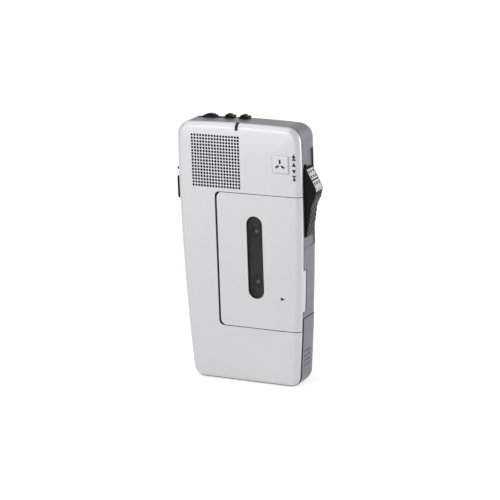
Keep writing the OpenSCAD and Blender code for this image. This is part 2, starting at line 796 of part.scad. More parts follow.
module deck_plate() {
  pad_xs = [bay_x0 + 3, bay_x0 + cassette_w - 7];
  pads = [for (x = pad_xs, z = [bay_z0 + 3, bay_z0 + cassette_l - 3]) [x, z]];
  color("LightGray") difference() {
    union() {
      span([deck_x0, deck_y0, deck_z0], [deck_x1, deck_y1, deck_z1]);
      for (p = pads) rod(p[0], p[1], 1.5, bay_y1, deck_y0 + deck_t / 2);
    }
    for (z = hub_z) rod(deck_x, z, spindle_r + fit, deck_y0 - over, deck_y1 + over);
    rod(capstan_x, capstan_z, bush_r, deck_y0 - over, deck_y1 + over);
    rod(motor_x, motor_z, 2.5, deck_y0 - over, deck_y1 + over);
    for (p = deck_posts) rod(p[0], p[1], screw_r + fit, deck_y0 - over, deck_y1 + over);
    rod(idler_x, idler_z, 0.8, deck_y0 - over, deck_y1 + over);
  }
}
module screw(x, z, head_y, head_t, tip_y) {
  s = sign(tip_y - head_y);
  y1 = head_y + s * head_t;
  difference() {
    rod(x, z, screw_head_r, min(head_y, y1), max(head_y, y1));
    translate([x, head_y, z]) cube([2.4, 0.8, 0.5], center = true);
    translate([x, head_y, z]) cube([0.5, 0.8, 2.4], center = true);
  }
  rod(x, z, screw_r, min(y1, tip_y), max(y1, tip_y));
}
module deck_screws() {
  color("Silver") for (p = deck_posts) screw(p[0], p[1], deck_y0 - 0.9, 0.9, deck_y1 + 4.5);
}
module case_screws() {
  color("DimGray") for (p = case_posts) screw(p[0], p[1], yb - 0.1, wall / 2 - 0.1, yb - 9);
}
motor_shaft_r = 0.75;
module motor() {
  color("Silver") difference() {
    union() {
      rod(motor_x, motor_z, motor_r, deck_y0 - motor_h, deck_y0);
      rod(motor_x, motor_z, 2.4, deck_y0 - 0.1, deck_y1 + 0.2);
    }
    rod(motor_x, motor_z, motor_shaft_r + fit, deck_y0 - motor_h / 2, deck_y1 + over);
  }
}
module motor_pulley() {
  color("Goldenrod") {
    difference() {
      rod(motor_x, motor_z, pulley_r + groove, belt_y0 - 0.5, belt_y1 + 0.5);
      ring(motor_x, motor_z, pulley_r + 2 * groove, pulley_r, belt_y0 - 0.15, belt_y1 + 0.15);
    }
    rod(motor_x, motor_z, motor_shaft_r, deck_y0 - motor_h / 2 + 0.4, belt_y0);
  }
}
belt_t = 0.5;
belt_gap = 0.08;
belt_r1 = pulley_r + belt_gap;
belt_r2 = flywheel_r - groove + belt_gap;
module belt_plan(grow) {
  hull() {
    translate([motor_x, motor_z]) circle(belt_r1 + grow, $fn = 40);
    translate([capstan_x, capstan_z]) circle(belt_r2 + grow, $fn = 64);
  }
}
module drive_belt() {
  color("Black") translate([0, belt_y1, 0]) rotate([90, 0, 0]) linear_extrude(belt_y1 - belt_y0)
    difference() {
      belt_plan(belt_t);
      belt_plan(0);
    }
}
module flywheel() {
  color("DarkGoldenrod") {
    difference() {
      rod(capstan_x, capstan_z, flywheel_r, wheel_y0, belt_y1 + 0.5);
      ring(capstan_x, capstan_z, flywheel_r + over, flywheel_r - groove, belt_y0 - 0.15, belt_y1 + 0.15);
    }
    rod(capstan_x, capstan_z, capstan_r, bay_y0 + 1, wheel_y0 + 0.5);
  }
}
module capstan_bush() {
  color("Peru") ring(capstan_x, capstan_z, bush_r - 0.02, capstan_r + fit, deck_y0 - 0.5, deck_y1 + 0.2);
}
pin_r = 0.78;
module idler_wheel() {
  color("DimGray") ring(idler_x, idler_z, idler_r, pin_r + fit, wheel_y0, wheel_y1);
}
module idler_pin() {
  color("Silver") {
    rod(idler_x, idler_z, pin_r, deck_y0, wheel_y1 + 0.5);
    rod(idler_x, idler_z, 1.6, wheel_y1 + 0.1, wheel_y1 + 0.5);
  }
}
reel_bore = 2.6;
fin_r = 2.3;
// Reel table behind the deck, with its shaft and a finned driver in the cassette's hub
module spindle(z) {
  rod(deck_x, z, table_r, wheel_y0, wheel_y1);
  rod(deck_x, z, spindle_r, bay_y0 + 1.2, wheel_y0 + 0.5);
  for (a = [0, 120, 240]) translate([deck_x, 0, z]) rotate([0, a, 0])
    span([0, bay_y0 + 2.6, -0.3], [fin_r, bay_y1 - 0.6, 0.3]);
}
module supply_spindle() {
  color("White") spindle(hub_z[0]);
}
module takeup_spindle() {
  color("White") spindle(hub_z[1]);
}
pack_r = min(0.216 * cassette_l, cassette_w / 2 - 5.7);
module reel(z, r) {
  ring(deck_x, z, r, reel_bore, bay_y0 + 1.8, bay_y1 - 1.8);
}
module supply_reel() {
  color("SaddleBrown") reel(hub_z[0], pack_r);
}
module takeup_reel() {
  color("SaddleBrown") reel(hub_z[1], 0.89 * pack_r);
}
module cassette_shell() {
  cut = 3.6;
  skin = 1;
  color("DarkSlateGray") difference() {
    span([bay_x0, bay_y0, bay_z0], [bay_x0 + cassette_w, bay_y1, bay_z0 + cassette_l]);
    span([bay_x0 + cut + skin, bay_y0 + skin, bay_z0 + skin],
      [bay_x0 + cassette_w - skin, bay_y1 - skin, bay_z0 + cassette_l - skin]);
    for (z = hub_z) rod(deck_x, z, 3, bay_y0 - over, bay_y1 + over);
    rod(capstan_x, capstan_z, capstan_r + 0.5, bay_y0 - over, bay_y1 + over);
    for (s = [[capstan_z, 3.4], [deck_z, 4.8], [erase_z, 3.4]])
      span([bay_x0 - over, bay_y0 + skin, s[0] - s[1]], [bay_x0 + cut, bay_y1 - skin, s[0] + s[1]]);
  }
}
module head_slide() {
  color("Silver") difference() {
    span([head_tail, head_y0, capstan_z - 3.4], [head_edge, head_y1, head_top]);
    span([head_tail + 3, head_y0 - over, deck_z - 5], [head_edge - 6.5, head_y1 + over, deck_z + 5]);
  }
}
module play_head() {
  color("LightSteelBlue") {
    span([head_face - 4.6, bay_y0 + 1.6, deck_z - 3.6], [head_face - 0.6, head_y0, deck_z + 3.6]);
    rod_z(head_face - 1.5, (bay_y0 + bay_y1) / 2, 1.5, deck_z - 3, deck_z + 3);
  }
}
module erase_head() {
  color("DimGray") span([head_face - 3.4, bay_y0 + 1.8, erase_z - erase_h / 2],
    [head_face - 0.3, head_y0, erase_z + erase_h / 2]);
}
module pinch_roller() {
  color("Black") ring(roller_x, capstan_z, roller_r, pin_r + fit, bay_y0 + 1.8, bay_y1 - 2);
}
module pinch_pin() {
  color("Silver") {
    rod(roller_x, capstan_z, pin_r, bay_y0 + 1.1, head_y0);
    rod(roller_x, capstan_z, 1.5, bay_y0 + 1.1, bay_y0 + 1.7);
    rod(roller_x, capstan_z, 1.2, bay_y1 - 1.9, head_y0);
  }
}
module circuit_board() {
  color("DarkGreen") difference() {
    translate([0, board_y1, 0]) rotate([90, 0, 0]) linear_extrude(board_t)
      polygon([
        [-board_w0 / 2, board_z0], [board_w0 / 2, board_z0],
        [board_w1 / 2, board_wide_z], [board_w1 / 2, board_z1 - board_cut],
        [board_w1 / 2 - board_cut, board_z1], [board_cut - board_w1 / 2, board_z1],
        [-board_w1 / 2, board_z1 - board_cut], [-board_w1 / 2, board_wide_z]
      ]);
    for (p = concat(deck_posts, case_posts)) rod(p[0], p[1], post_r + 0.3, board_y0 - over, board_y1 + over);
  }
}
front_shell();
rear_shell();
cassette_door();
door_window();
hinge_pins();
door_catch();
battery_cover();
cover_contact();
battery_cells();
bay_contacts();
slide_control();
slide_pad();
main_switch();
volume_wheel();
volume_pot();
switch_knob_left();
switch_knob_right();
switch_bodies();
record_button();
index_button();
side_switches();
earphone_jack();
light_pipe();
record_lamp();
mic_plate();
mic_capsule();
speaker_gasket();
speaker_frame();
speaker_cone();
speaker_magnet();
deck_plate();
deck_screws();
motor();
motor_pulley();
drive_belt();
flywheel();
capstan_bush();
idler_wheel();
idler_pin();
supply_spindle();
takeup_spindle();
supply_reel();
takeup_reel();
cassette_shell();
head_slide();
play_head();
erase_head();
pinch_roller();
pinch_pin();
circuit_board();
case_screws();
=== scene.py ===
import math

import bmesh
import bpy
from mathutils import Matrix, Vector


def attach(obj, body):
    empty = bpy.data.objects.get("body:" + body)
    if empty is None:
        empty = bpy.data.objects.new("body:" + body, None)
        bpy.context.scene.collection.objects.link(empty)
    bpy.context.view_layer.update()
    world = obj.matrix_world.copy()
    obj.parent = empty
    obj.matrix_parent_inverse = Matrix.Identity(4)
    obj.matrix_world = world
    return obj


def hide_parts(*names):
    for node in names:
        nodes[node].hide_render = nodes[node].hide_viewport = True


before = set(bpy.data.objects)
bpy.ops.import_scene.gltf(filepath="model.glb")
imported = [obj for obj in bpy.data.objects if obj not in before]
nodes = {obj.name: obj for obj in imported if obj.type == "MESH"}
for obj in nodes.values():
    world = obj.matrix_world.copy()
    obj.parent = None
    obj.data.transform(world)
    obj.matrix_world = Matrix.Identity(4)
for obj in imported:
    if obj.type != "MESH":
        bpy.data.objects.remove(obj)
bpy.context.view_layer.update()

scene = bpy.context.scene

# Front cover: a shallow injection-moulded shell in ABS, sprayed with a fine silver lacquer.
# Its face is faintly crowned and its rim rounds back to a fine seam with the rear half;
# the square field of holes over the loudspeaker is moulded through the face.
MM = 0.001
HEIGHT, WIDTH = 126.0, 64.0
WIDEST, DRAWN_IN, ARCH = 100.006, 4.4, 0.9
FRONT, SEAM, BACK, WALL = -11.0, -8.0, 11.0, 1.5
RIM_R, BACK_R, BACK_IN = 3.0, 9.0, 7.0
UPPER_R, LOWER_R = 7.0, 5.5
CROWN, CROWN_REACH = 0.3, 16.0
SEAM_HALF, TONGUE = 0.25, 0.7
# Cutting blocks reach past the case to these places, and moving pieces have this much room.
OUT, AHEAD, BEHIND, UNDER, OVER = 64, -14, 14, -2, 130
ROOM = 0.3


def half_width(z):
    return WIDTH / 2 - DRAWN_IN * (z / WIDEST - 1) ** 2


def top_height(x):
    return HEIGHT - ARCH * (2 * x / WIDTH) ** 2


def arc(x, z, r, start, end, steps):
    turns = [math.radians(start + (end - start) * i / steps) for i in range(steps + 1)]
    return [(x + r * math.cos(a), z + r * math.sin(a)) for a in turns]


def outline(inset, steps):
    upper_r, lower_r = max(UPPER_R, inset + 1), max(LOWER_R, inset + 1)
    upper_x = half_width(HEIGHT - upper_r) - upper_r
    upper_z = top_height(upper_x) - upper_r
    lower_x = half_width(lower_r) - lower_r
    rise = [lower_r + (upper_z - lower_r) * i / steps for i in range(steps + 1)]
    across = [upper_x * (1 - 2 * i / steps) for i in range(1, steps)]
    bend = steps // 3 + 2
    ring = [(half_width(z) - inset, z) for z in rise]
    ring += arc(upper_x, upper_z, upper_r - inset, 5, 90, bend)
    ring += [(x, top_height(x) - inset) for x in across]
    ring += arc(-upper_x, upper_z, upper_r - inset, 90, 175, bend)
    ring += [(inset - half_width(z), z) for z in reversed(rise)]
    ring += arc(-lower_x, lower_r, lower_r - inset, 183, 270, bend)
    ring += [(-lower_x * (1 - 2 * i / steps), inset) for i in range(1, steps)]
    ring += arc(lower_x, lower_r, lower_r - inset, 270, 357, bend)
    return ring


def crown(inset):
    return CROWN * ((CROWN_REACH - min(max(inset, RIM_R), CROWN_REACH)) / (CROWN_REACH - RIM_R)) ** 2


def face_outward(mesh):
    work = bmesh.new()
    work.from_mesh(mesh)
    bmesh.ops.recalc_face_normals(work, faces=work.faces)
    work.to_mesh(mesh)
    work.free()


def stand(name, data):
    piece = bpy.data.objects.new(name, data)
    scene.collection.objects.link(piece)
    return piece


def solid(name, rings):
    count = len(rings[0])
    corners = [Vector(p) * MM for ring in rings for p in ring]
    last = count * (len(rings) - 1)
    faces = [tuple(reversed(range(count))), tuple(range(last, last + count))]
    for i in range(len(rings) - 1):
        for j in range(count):
            k = (j + 1) % count
            faces.append((count * i + j, count * i + k, count * (i + 1) + k, count * (i + 1) + j))
    mesh = bpy.data.meshes.new(name)
    mesh.from_pydata(corners, [], faces)
    face_outward(mesh)
    return stand(name, mesh)


def case_form(inset, steps, turns, proud=0.0):
    front_r, back_r, back_in = RIM_R - min(inset, 2.5), BACK_R - inset, BACK_IN - min(inset, 6.5)
    front = FRONT + inset
    edge = 0.0 if inset else CROWN
    levels = []
    if not inset:
        levels += [(front + crown(i), i) for i in (16.0, 13.0, 10.5, 8.5, 6.5, 5.0, 3.8)]
    for i in range(turns + 1):
        a = math.pi / 2 * (1 - i / turns)
        depth = front + edge + (front_r - edge) * (1 - math.sin(a))
        levels.append((depth, inset + front_r * (1 - math.cos(a))))
    for i in range(turns + 1):
        a = math.pi / 2 * i / turns
        depth = BACK - inset - back_r * (1 - math.sin(a))
        levels.append((depth, inset + back_in * (1 - math.cos(a))))
    return solid("form", [[(x, y, z) for x, z in outline(t - proud, steps)] for y, t in levels])


def prism(points, low, high, axis="y"):
    turned = {"x": lambda u, v, d: (d, u, v), "y": lambda u, v, d: (u, d, v), "z": lambda u, v, d: (u, v, d)}
    return solid("cut", [[turned[axis](u, v, d) for u, v in points] for d in (low, high)])


def block(low, high):
    (x0, y0, z0), (x1, y1, z1) = low, high
    return prism([(x0, z0), (x1, z0), (x1, z1), (x0, z1)], y0, y1)


def rod(x, z, r, low, high, axis="y", steps=32):
    return prism(arc(x, z, r, 0, 360 - 360 / steps, steps - 1), low, high, axis)


def settle(piece):
    shown = piece.evaluated_get(bpy.context.evaluated_depsgraph_get())
    mesh = bpy.data.meshes.new_from_object(shown)
    piece.modifiers.clear()
    piece.data = mesh


def carve(piece, cutter, operation="DIFFERENCE"):
    step = piece.modifiers.new("carve", "BOOLEAN")
    step.operation = operation
    step.solver = "EXACT"
    step.object = cutter
    settle(piece)
    bpy.data.objects.remove(cutter)


def soften(piece, width, segments=2, limit=35):
    step = piece.modifiers.new("soften", "BEVEL")
    step.width = width * MM
    step.segments = segments
    step.limit_method = "ANGLE"
    step.angle_limit = math.radians(limit)
    settle(piece)


def smooth(piece, limit=32):
    piece.data.shade_smooth()
    piece.data.set_sharp_from_angle(angle=math.radians(limit))
    step = piece.modifiers.new("weight", "WEIGHTED_NORMAL")
    step.keep_sharp = True
    step.weight = 100
    settle(piece)


# Hex colours are sRGB values, and shaders take them as linear light.
def srgb(code):
    parts = [int(code[i:i + 2], 16) / 255 for i in (1, 3, 5)]
    return tuple(c / 12.92 if c <= 0.04045 else ((c + 0.055) / 1.055) ** 2.4 for c in parts) + (1.0,)


def add_node(tree, kind, links=None, **settings):
    node = tree.nodes.new(kind)
    for key, value in settings.items():
        setattr(node, key, value)
    for key, value in (links or {}).items():
        if isinstance(value, bpy.types.NodeSocket):
            tree.links.new(value, node.inputs[key])
        else:
            node.inputs[key].default_value = value
    return node


# Every finish has a fine grain that shifts its colour and lifts its surface, at a size in mm, and
# broad patches left by spraying, moulding and handling that shift its roughness. Where it wears,
# edges are rubbed to a second colour. Where a shade colour is given, hollows and the gaps between
# parts are darkened towards it by ambient occlusion: painted shade.
PATCH, RUBBED_EDGE = 14.0, 0.22


def finish_of(name, dark, light, rough, grain, relief, ior=None, metal=1.0, worn=None, wear=0.0,
              painted_shade=None, reach=1.3, gloss=0.5):
    material = bpy.data.materials.new(name)
    material.use_nodes = True
    tree = material.node_tree
    shader = tree.nodes["Principled BSDF"]
    spot = add_node(tree, "ShaderNodeTexCoord").outputs["Object"]
    fine = add_node(tree, "ShaderNodeTexNoise", {"Vector": spot, "Scale": 1 / (grain * MM), "Detail": 5.0})
    patch = add_node(tree, "ShaderNodeTexNoise", {"Vector": spot, "Scale": 1 / (PATCH * MM), "Detail": 3.0})
    tone = add_node(tree, "ShaderNodeValToRGB", {"Fac": fine.outputs["Fac"]})
    low, high = tone.color_ramp.elements
    low.position, low.color = 0.3, srgb(dark)
    high.position, high.color = 0.7, srgb(light)
    colour = tone.outputs["Color"]
    if worn:
        eased = add_node(tree, "ShaderNodeBevel", {"Radius": RUBBED_EDGE * MM}, samples=4)
        true = add_node(tree, "ShaderNodeNewGeometry")
        edge = add_node(tree, "ShaderNodeVectorMath", {
            0: eased.outputs["Normal"], 1: true.outputs["Normal"]}, operation="DOT_PRODUCT")
        mask = add_node(tree, "ShaderNodeMapRange", {
            "Value": edge.outputs["Value"], "From Min": 0.99, "From Max": 0.86,
            "To Min": 0.0, "To Max": wear})
        rubbed = add_node(tree, "ShaderNodeMix", {
            0: mask.outputs[0], 6: colour, 7: srgb(worn)}, data_type="RGBA")
        colour = rubbed.outputs[2]
    # Painted shade: ambient occlusion darkens hollows, holes and gaps between parts towards the shade colour.
    if painted_shade:
        shade = add_node(tree, "ShaderNodeAmbientOcclusion", {"Distance": reach * MM}, samples=8)
        depth = add_node(tree, "ShaderNodeMapRange", {
            "Value": shade.outputs["AO"], "From Min": 0.45, "From Max": 0.86, "To Min": 1.0, "To Max": 0.0})
        shaded = add_node(tree, "ShaderNodeMix", {
            0: depth.outputs[0], 6: colour, 7: srgb(painted_shade)}, data_type="RGBA")
        colour = shaded.outputs[2]
    haze = add_node(tree, "ShaderNodeMapRange", {
        "Value": patch.outputs["Fac"], "From Min": 0.3, "From Max": 0.7,
        "To Min": rough - 0.04, "To Max": rough + 0.06})
    bump = add_node(tree, "ShaderNodeBump", {
        "Height": fine.outputs["Fac"], "Strength": 0.5, "Distance": relief * MM})
    tree.links.new(colour, shader.inputs["Base Color"])
    tree.links.new(haze.outputs[0], shader.inputs["Roughness"])
    tree.links.new(bump.outputs["Normal"], shader.inputs["Normal"])
    shader.inputs["Metallic"].default_value = metal
    shader.inputs["Specular IOR Level"].default_value = gloss
    if ior:
        shader.inputs["IOR"].default_value = ior
    return material


def dress(piece, material):
    piece.data.materials.clear()
    piece.data.materials.append(material)


def place(piece, name, material, body, node):
    piece.name = name
    piece.data.name = name
    dress(piece, material)
    for face in piece.data.polygons:
        face.material_index = 0
    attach(piece, body)
    if node:
        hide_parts(node)


# Sprayed silver lacquer: an even pale silver with a soft sheen and no clear reflection. Its flakes are
# about 0.03 mm, too fine to show, and are drawn at 0.16 mm.
# Painted shade darkens its holes, slots and the gaps round the door nearly to black.
silver_lacquer = finish_of("sprayed silver lacquer on ABS", "#c3c3c5", "#cecfd0", 0.36, 0.16, 0.004,
                           ior=1.49, metal=0.45, worn="#eeeeef", wear=0.35, painted_shade="#060607")
DOOR_X, DOOR_LOW, DOOR_HIGH, DOOR_R = -11.49, 27.88, 92.82, 3.0
HINGE_GAP = 1.0
MIC_X, MIC_Z = 22.1, 108.0
STRIP_LEFT, STRIP_RIGHT, STRIP_LOW, STRIP_FIT = -0.9, 0.7, 122.55, 0.07
EASED = 0.14
FORM_STEPS, FORM_TURNS = 36, 10
INNER_STEPS, INNER_TURNS = 12, 4


def door_plan(x, low, high, r):
    plan = [(OUT, low), (OUT, high)]
    return plan + arc(x + r, high - r, r, 90, 180, 10) + arc(x + r, low + r, r, 180, 270, 10)


front_cover = case_form(0, FORM_STEPS, FORM_TURNS)
carve(front_cover, case_form(WALL, INNER_STEPS, INNER_TURNS))
carve(front_cover, block((-OUT, SEAM - SEAM_HALF, UNDER), (OUT, BEHIND, OVER)))
carve(front_cover, prism(
    door_plan(DOOR_X - HINGE_GAP, DOOR_LOW - ROOM, DOOR_HIGH + ROOM, DOOR_R - 2 * ROOM), AHEAD, BEHIND))
carve(front_cover, block((STRIP_LEFT, AHEAD, STRIP_LOW), (STRIP_RIGHT, 0, OVER)))
carve(front_cover, rod(MIC_X, MIC_Z, 2.8, AHEAD, SEAM + 1))
soften(front_cover, EASED)
GRILLE_X, GRILLE_Z, GRILLE_STEP, GRILLE_R, GRILLE_SIDE = -11.35, 107.38, 1.5, 0.6, 8
grille = bmesh.new()
for i in range(-GRILLE_SIDE, GRILLE_SIDE + 1):
    for k in range(-GRILLE_SIDE, GRILLE_SIDE + 1):
        hole = rod(GRILLE_X + GRILLE_STEP * i, GRILLE_Z + GRILLE_STEP * k, GRILLE_R, -13, -7, steps=16)
        grille.from_mesh(hole.data)
        bpy.data.objects.remove(hole)
grille_mesh = bpy.data.meshes.new("grille")
grille.to_mesh(grille_mesh)
grille.free()
carve(front_cover, stand("grille", grille_mesh))
smooth(front_cover)
place(front_cover, "front_cover", silver_lacquer, "case", "front_shell")
# Moulded black ABS: dead black on the walls of holes, where the lacquer doesn't reach; the dead black
# is also painted shade, so that each hole reads as a dark dot, and it darkens the pane's edge.
bare_plastic_and_shade = finish_of("black ABS and painted shade", "#030303", "#070708", 0.6, 0.3, 0.01,
                         ior=1.54, metal=0.0, gloss=0.1)


# Sideways walls of holes get the dead black, for bare plastic and for painted shade.
def blacken_hole_walls(piece, x, z, half):
    piece.data.materials.append(bare_plastic_and_shade)
    for face in piece.data.polygons:
        u, _, v = face.center / MM
        if max(abs(u - x), abs(v - z)) < half and abs(face.normal.y) < 0.5:
            face.material_index = 1


blacken_hole_walls(front_cover, GRILLE_X, GRILLE_Z, (GRILLE_SIDE + 0.5) * GRILLE_STEP)

# Rear half of the case: one deep moulding with both ends, the sides and the rounded back, sprayed in
# the same silver; its colour is drawn darker and cooler than the front's as painted shade. Slots are
# moulded through it for the wheel, the switches and the buttons, and the slide control runs in a track
# sunk into its right side.
TRACK_FLOOR, TRACK_LOW, TRACK_HIGH, TRACK_SLOPE = 30.75, 68.03, 114.03, 3
TRACK_FRONT, TRACK_BACK, TRACK_WALL, TRACK_UNDER, TRACK_INTO = -7.3, 5.0, 1.0, 29.35, 30.95
LEG_X, LEG_ROOT, LEG_FRONT, LEG_BACK, LEG_LOW, LEG_HIGH = 24.75, 31.2, -3.9, -2.1, 97.82, 101.82
SLIDE_UP, SLIDE_DOWN = 5.0, 4.8
LIP_X, LIP_LOW, LIP_HIGH, LIP_BACK, LIP_GAP = 16, 37.08, 57.36, -5.4, 0.75
COVER_X, COVER_FRONT, COVER_BACK, COVER_HIGH = 22, -7.3, 5, 33.65
WHEEL_X, WHEEL_Z, WHEEL_R, WHEEL_FRONT, WHEEL_BACK = -18.95, 120.88, 6.6, -0.5, 2.5
SWITCH_X, STEM_HALF, STEM_FRONT, STEM_BACK, SWITCH_STROKE = (-8.95, -1.15), 0.8, 0.3, 1.7, 1.5
BUTTON_Y, BUTTON_HALF, BUTTON_LOW, BUTTON_HIGH = -5.8, 1.4, 86.94, 98.24
NUB_Z, NUB_R = 101.64, 0.8
SOCKET_Y, SOCKET_Z, SOCKET_R = 1, 110.53, 3.05
SCREWS, SCREW_R, SCREW_HEAD_R = ((-24, 94.82), (10, 117), (-22, 36.46)), 1.05, 2.1
UPPER_END, LEFT_WALL = 120, -28.9
# Silver lacquer in painted shade: a darker, cooler copy of the front's lacquer, so that the top, sides
# and back render darker than the face; its seams are darkened further as painted shade. Its flakes are
# drawn at 0.16 mm too.
shaded_silver_lacquer = finish_of("silver lacquer in painted shade", "#6b6e76", "#767981", 0.4, 0.16, 0.005,
                         ior=1.49, metal=0.4, worn="#b4b5bb", wear=0.35, painted_shade="#1c1d20", reach=0.5)
rear_case = case_form(0, FORM_STEPS, FORM_TURNS)
carve(rear_case, case_form(WALL, INNER_STEPS, INNER_TURNS))
carve(rear_case, block((TRACK_UNDER, TRACK_FRONT - TRACK_WALL, TRACK_LOW - TRACK_WALL),
                       (TRACK_INTO, TRACK_BACK + TRACK_WALL, TRACK_HIGH + TRACK_WALL)), "UNION")
carve(rear_case, block((-OUT, 2 * AHEAD, UNDER), (OUT, SEAM - 0.03, OVER)))
shadow_line = block((-OUT, 2 * AHEAD, UNDER), (OUT, SEAM + SEAM_HALF, OVER))
carve(shadow_line, case_form(TONGUE, FORM_STEPS, INNER_TURNS))
carve(rear_case, shadow_line)
carve(rear_case, block((LIP_X, SEAM - ROOM, LIP_LOW - ROOM), (OUT, LIP_BACK + LIP_GAP, LIP_HIGH + ROOM)))
carve(rear_case, prism([
    (TRACK_FLOOR, TRACK_LOW), (TRACK_FLOOR + TRACK_SLOPE, TRACK_LOW - TRACK_SLOPE),
    (OUT, TRACK_LOW - TRACK_SLOPE), (OUT, TRACK_HIGH), (TRACK_FLOOR, TRACK_HIGH)], TRACK_FRONT, TRACK_BACK))
carve(rear_case, block((LEG_X, LEG_FRONT - ROOM, LEG_LOW - SLIDE_DOWN - ROOM),
                       (OUT, LEG_BACK + ROOM, LEG_HIGH + SLIDE_UP + ROOM)))
carve(rear_case, block((COVER_X - ROOM, COVER_FRONT - 2 * ROOM, UNDER),
                       (OUT, COVER_BACK + ROOM, COVER_HIGH + ROOM)))
carve(rear_case, block((WHEEL_X - WHEEL_R - ROOM, WHEEL_FRONT - ROOM, UPPER_END),
                       (WHEEL_X + WHEEL_R + ROOM, WHEEL_BACK + ROOM, OVER)))
for x in SWITCH_X:
    carve(rear_case, block((x - STEM_HALF - ROOM, STEM_FRONT - ROOM, UPPER_END),
                           (x + STEM_HALF + SWITCH_STROKE + ROOM, STEM_BACK + ROOM, OVER)))
carve(rear_case, block((-OUT, BUTTON_Y - BUTTON_HALF - ROOM, BUTTON_LOW - ROOM),
                       (LEFT_WALL, BUTTON_Y + BUTTON_HALF + ROOM, BUTTON_HIGH + ROOM)))
carve(rear_case, rod(BUTTON_Y, NUB_Z, NUB_R + ROOM, -OUT, LEFT_WALL, "x"))
carve(rear_case, rod(SOCKET_Y, SOCKET_Z, SOCKET_R, -OUT, LEFT_WALL, "x"))
for x, z in SCREWS:
    carve(rear_case, rod(x, z, SCREW_R, 7.5, BEHIND))
    carve(rear_case, rod(x, z, SCREW_HEAD_R, BACK - WALL / 2, BEHIND))
soften(rear_case, EASED)
smooth(rear_case)
place(rear_case, "rear_case", shaded_silver_lacquer, "case", "rear_shell")

# Cassette door: part of the front face moulded separately and sprayed with it. It swings on two pins
# behind its left edge, where the gap to the cover is widest, and is pulled by a lip that wraps round
# the right side; a long rounded window is let into its middle.
door = prism(door_plan(DOOR_X, DOOR_LOW, DOOR_HIGH, DOOR_R), AHEAD, SEAM - SEAM_HALF)
carve(door, block((LIP_X, SEAM - 0.6, LIP_LOW), (OUT, LIP_BACK, LIP_HIGH)), "UNION")
carve(door, case_form(0, FORM_STEPS, FORM_TURNS), "INTERSECT")
carve(door, case_form(WALL, INNER_STEPS, INNER_TURNS))
WINDOW_X, WINDOW_Z, WINDOW_R, WINDOW_RUN = 7.66, 62.4, 4.0, 15.95
WINDOW_STEP, WINDOW_DEEP, WINDOW_FIT = 0.8, -10.2, 0.05
HINGE_X, HINGE_Y, PIN_R, BARREL_R, BARREL_L, BARRELS = -10.49, -9.6, 0.55, 0.95, 5.0, (29.08, 86.62)


def stadium(x, z, half, run, steps=20):
    return arc(x, z + run, half, 0, 180, steps) + arc(x, z - run, half, 180, 360, steps)


for half, front in ((WINDOW_R + WINDOW_FIT, AHEAD), (WINDOW_R + WINDOW_STEP + WINDOW_FIT, WINDOW_DEEP)):
    carve(door, prism(stadium(WINDOW_X, WINDOW_Z, half, WINDOW_RUN), front, -6))
soften(door, 0.16)
for low in BARRELS:
    carve(door, rod(HINGE_X, HINGE_Y, BARREL_R, low, low + BARREL_L, "z"), "UNION")
    carve(door, rod(HINGE_X, HINGE_Y, PIN_R, low - 2, low + BARREL_L + 2, "z", steps=16))
smooth(door)
place(door, "door_panel", silver_lacquer, "door", "cassette_door")

# Cassette window: smoked polycarbonate, polished on both sides, dropped into the door from behind
# and held by its wider back step; it shows only the tips of the spindles, painted white as glints,
# and its bevelled rim and edge, which the door closes in, are painted dead black as shade.
window = solid("window", [
    [(x, y, z) for x, z in stadium(WINDOW_X, WINDOW_Z, half, WINDOW_RUN, 24)]
    for y, half in (
        (-10.62, WINDOW_R - 0.45), (-10.76, WINDOW_R - 0.18), (-10.72, WINDOW_R - 0.03),
        (WINDOW_DEEP, WINDOW_R), (WINDOW_DEEP, WINDOW_R + WINDOW_STEP), (-9.5, WINDOW_R + WINDOW_STEP))])
smooth(window, 50)
# Polished smoked polycarbonate: nearly black over the dark cassette, with a faint green cast. Its usual
# IOR of 1.58 mirrors too much of the white surround, and it is lowered until the pane is as dark as
# the real one. A polished pane has no grain: its faint ripple is drawn at 3 mm.
smoked = finish_of("polished smoked polycarbonate", "#9fada8", "#a8b5b0", 0.06, 3.0, 0.001,
                   ior=1.3, metal=0.0, gloss=0.3)
smoked.node_tree.nodes["Principled BSDF"].inputs["Transmission Weight"].default_value = 1.0
place(window, "cassette_window", smoked, "door", "door_window")
# Painted shade: the pane's bevelled rim and edge faces are drawn dead black.
window.data.materials.append(bare_plastic_and_shade)
for face in window.data.polygons:
    if len(face.vertices) == 4:
        face.material_index = 1

# Battery cover: a curved plate of the same silver moulding on the lower right, standing slightly
# proud, with rows of small round dimples that give the thumb grip to slide it down.
PROUD = 0.35
DIMPLE_Y, DIMPLE_LOW, DIMPLE_STEP, DIMPLE_R = -4.9, 10.1, 2.4, 0.55
cover = block((COVER_X, COVER_FRONT, 0), (OUT, COVER_BACK, COVER_HIGH))
carve(cover, case_form(0, FORM_STEPS, FORM_TURNS, PROUD), "INTERSECT")
carve(cover, case_form(WALL, INNER_STEPS, INNER_TURNS))
soften(cover, 0.2)
for i in range(3):
    for k in range(4):
        z = DIMPLE_LOW + DIMPLE_STEP * k
        skin = half_width(z)
        carve(cover, rod(DIMPLE_Y + DIMPLE_STEP * i, z, DIMPLE_R, skin, skin + 2, "x", steps=16))
smooth(cover)
# The cover takes the rear half's darker lacquer, which is painted shade.
place(cover, "battery_door", shaded_silver_lacquer, "battery_cover", "battery_cover")

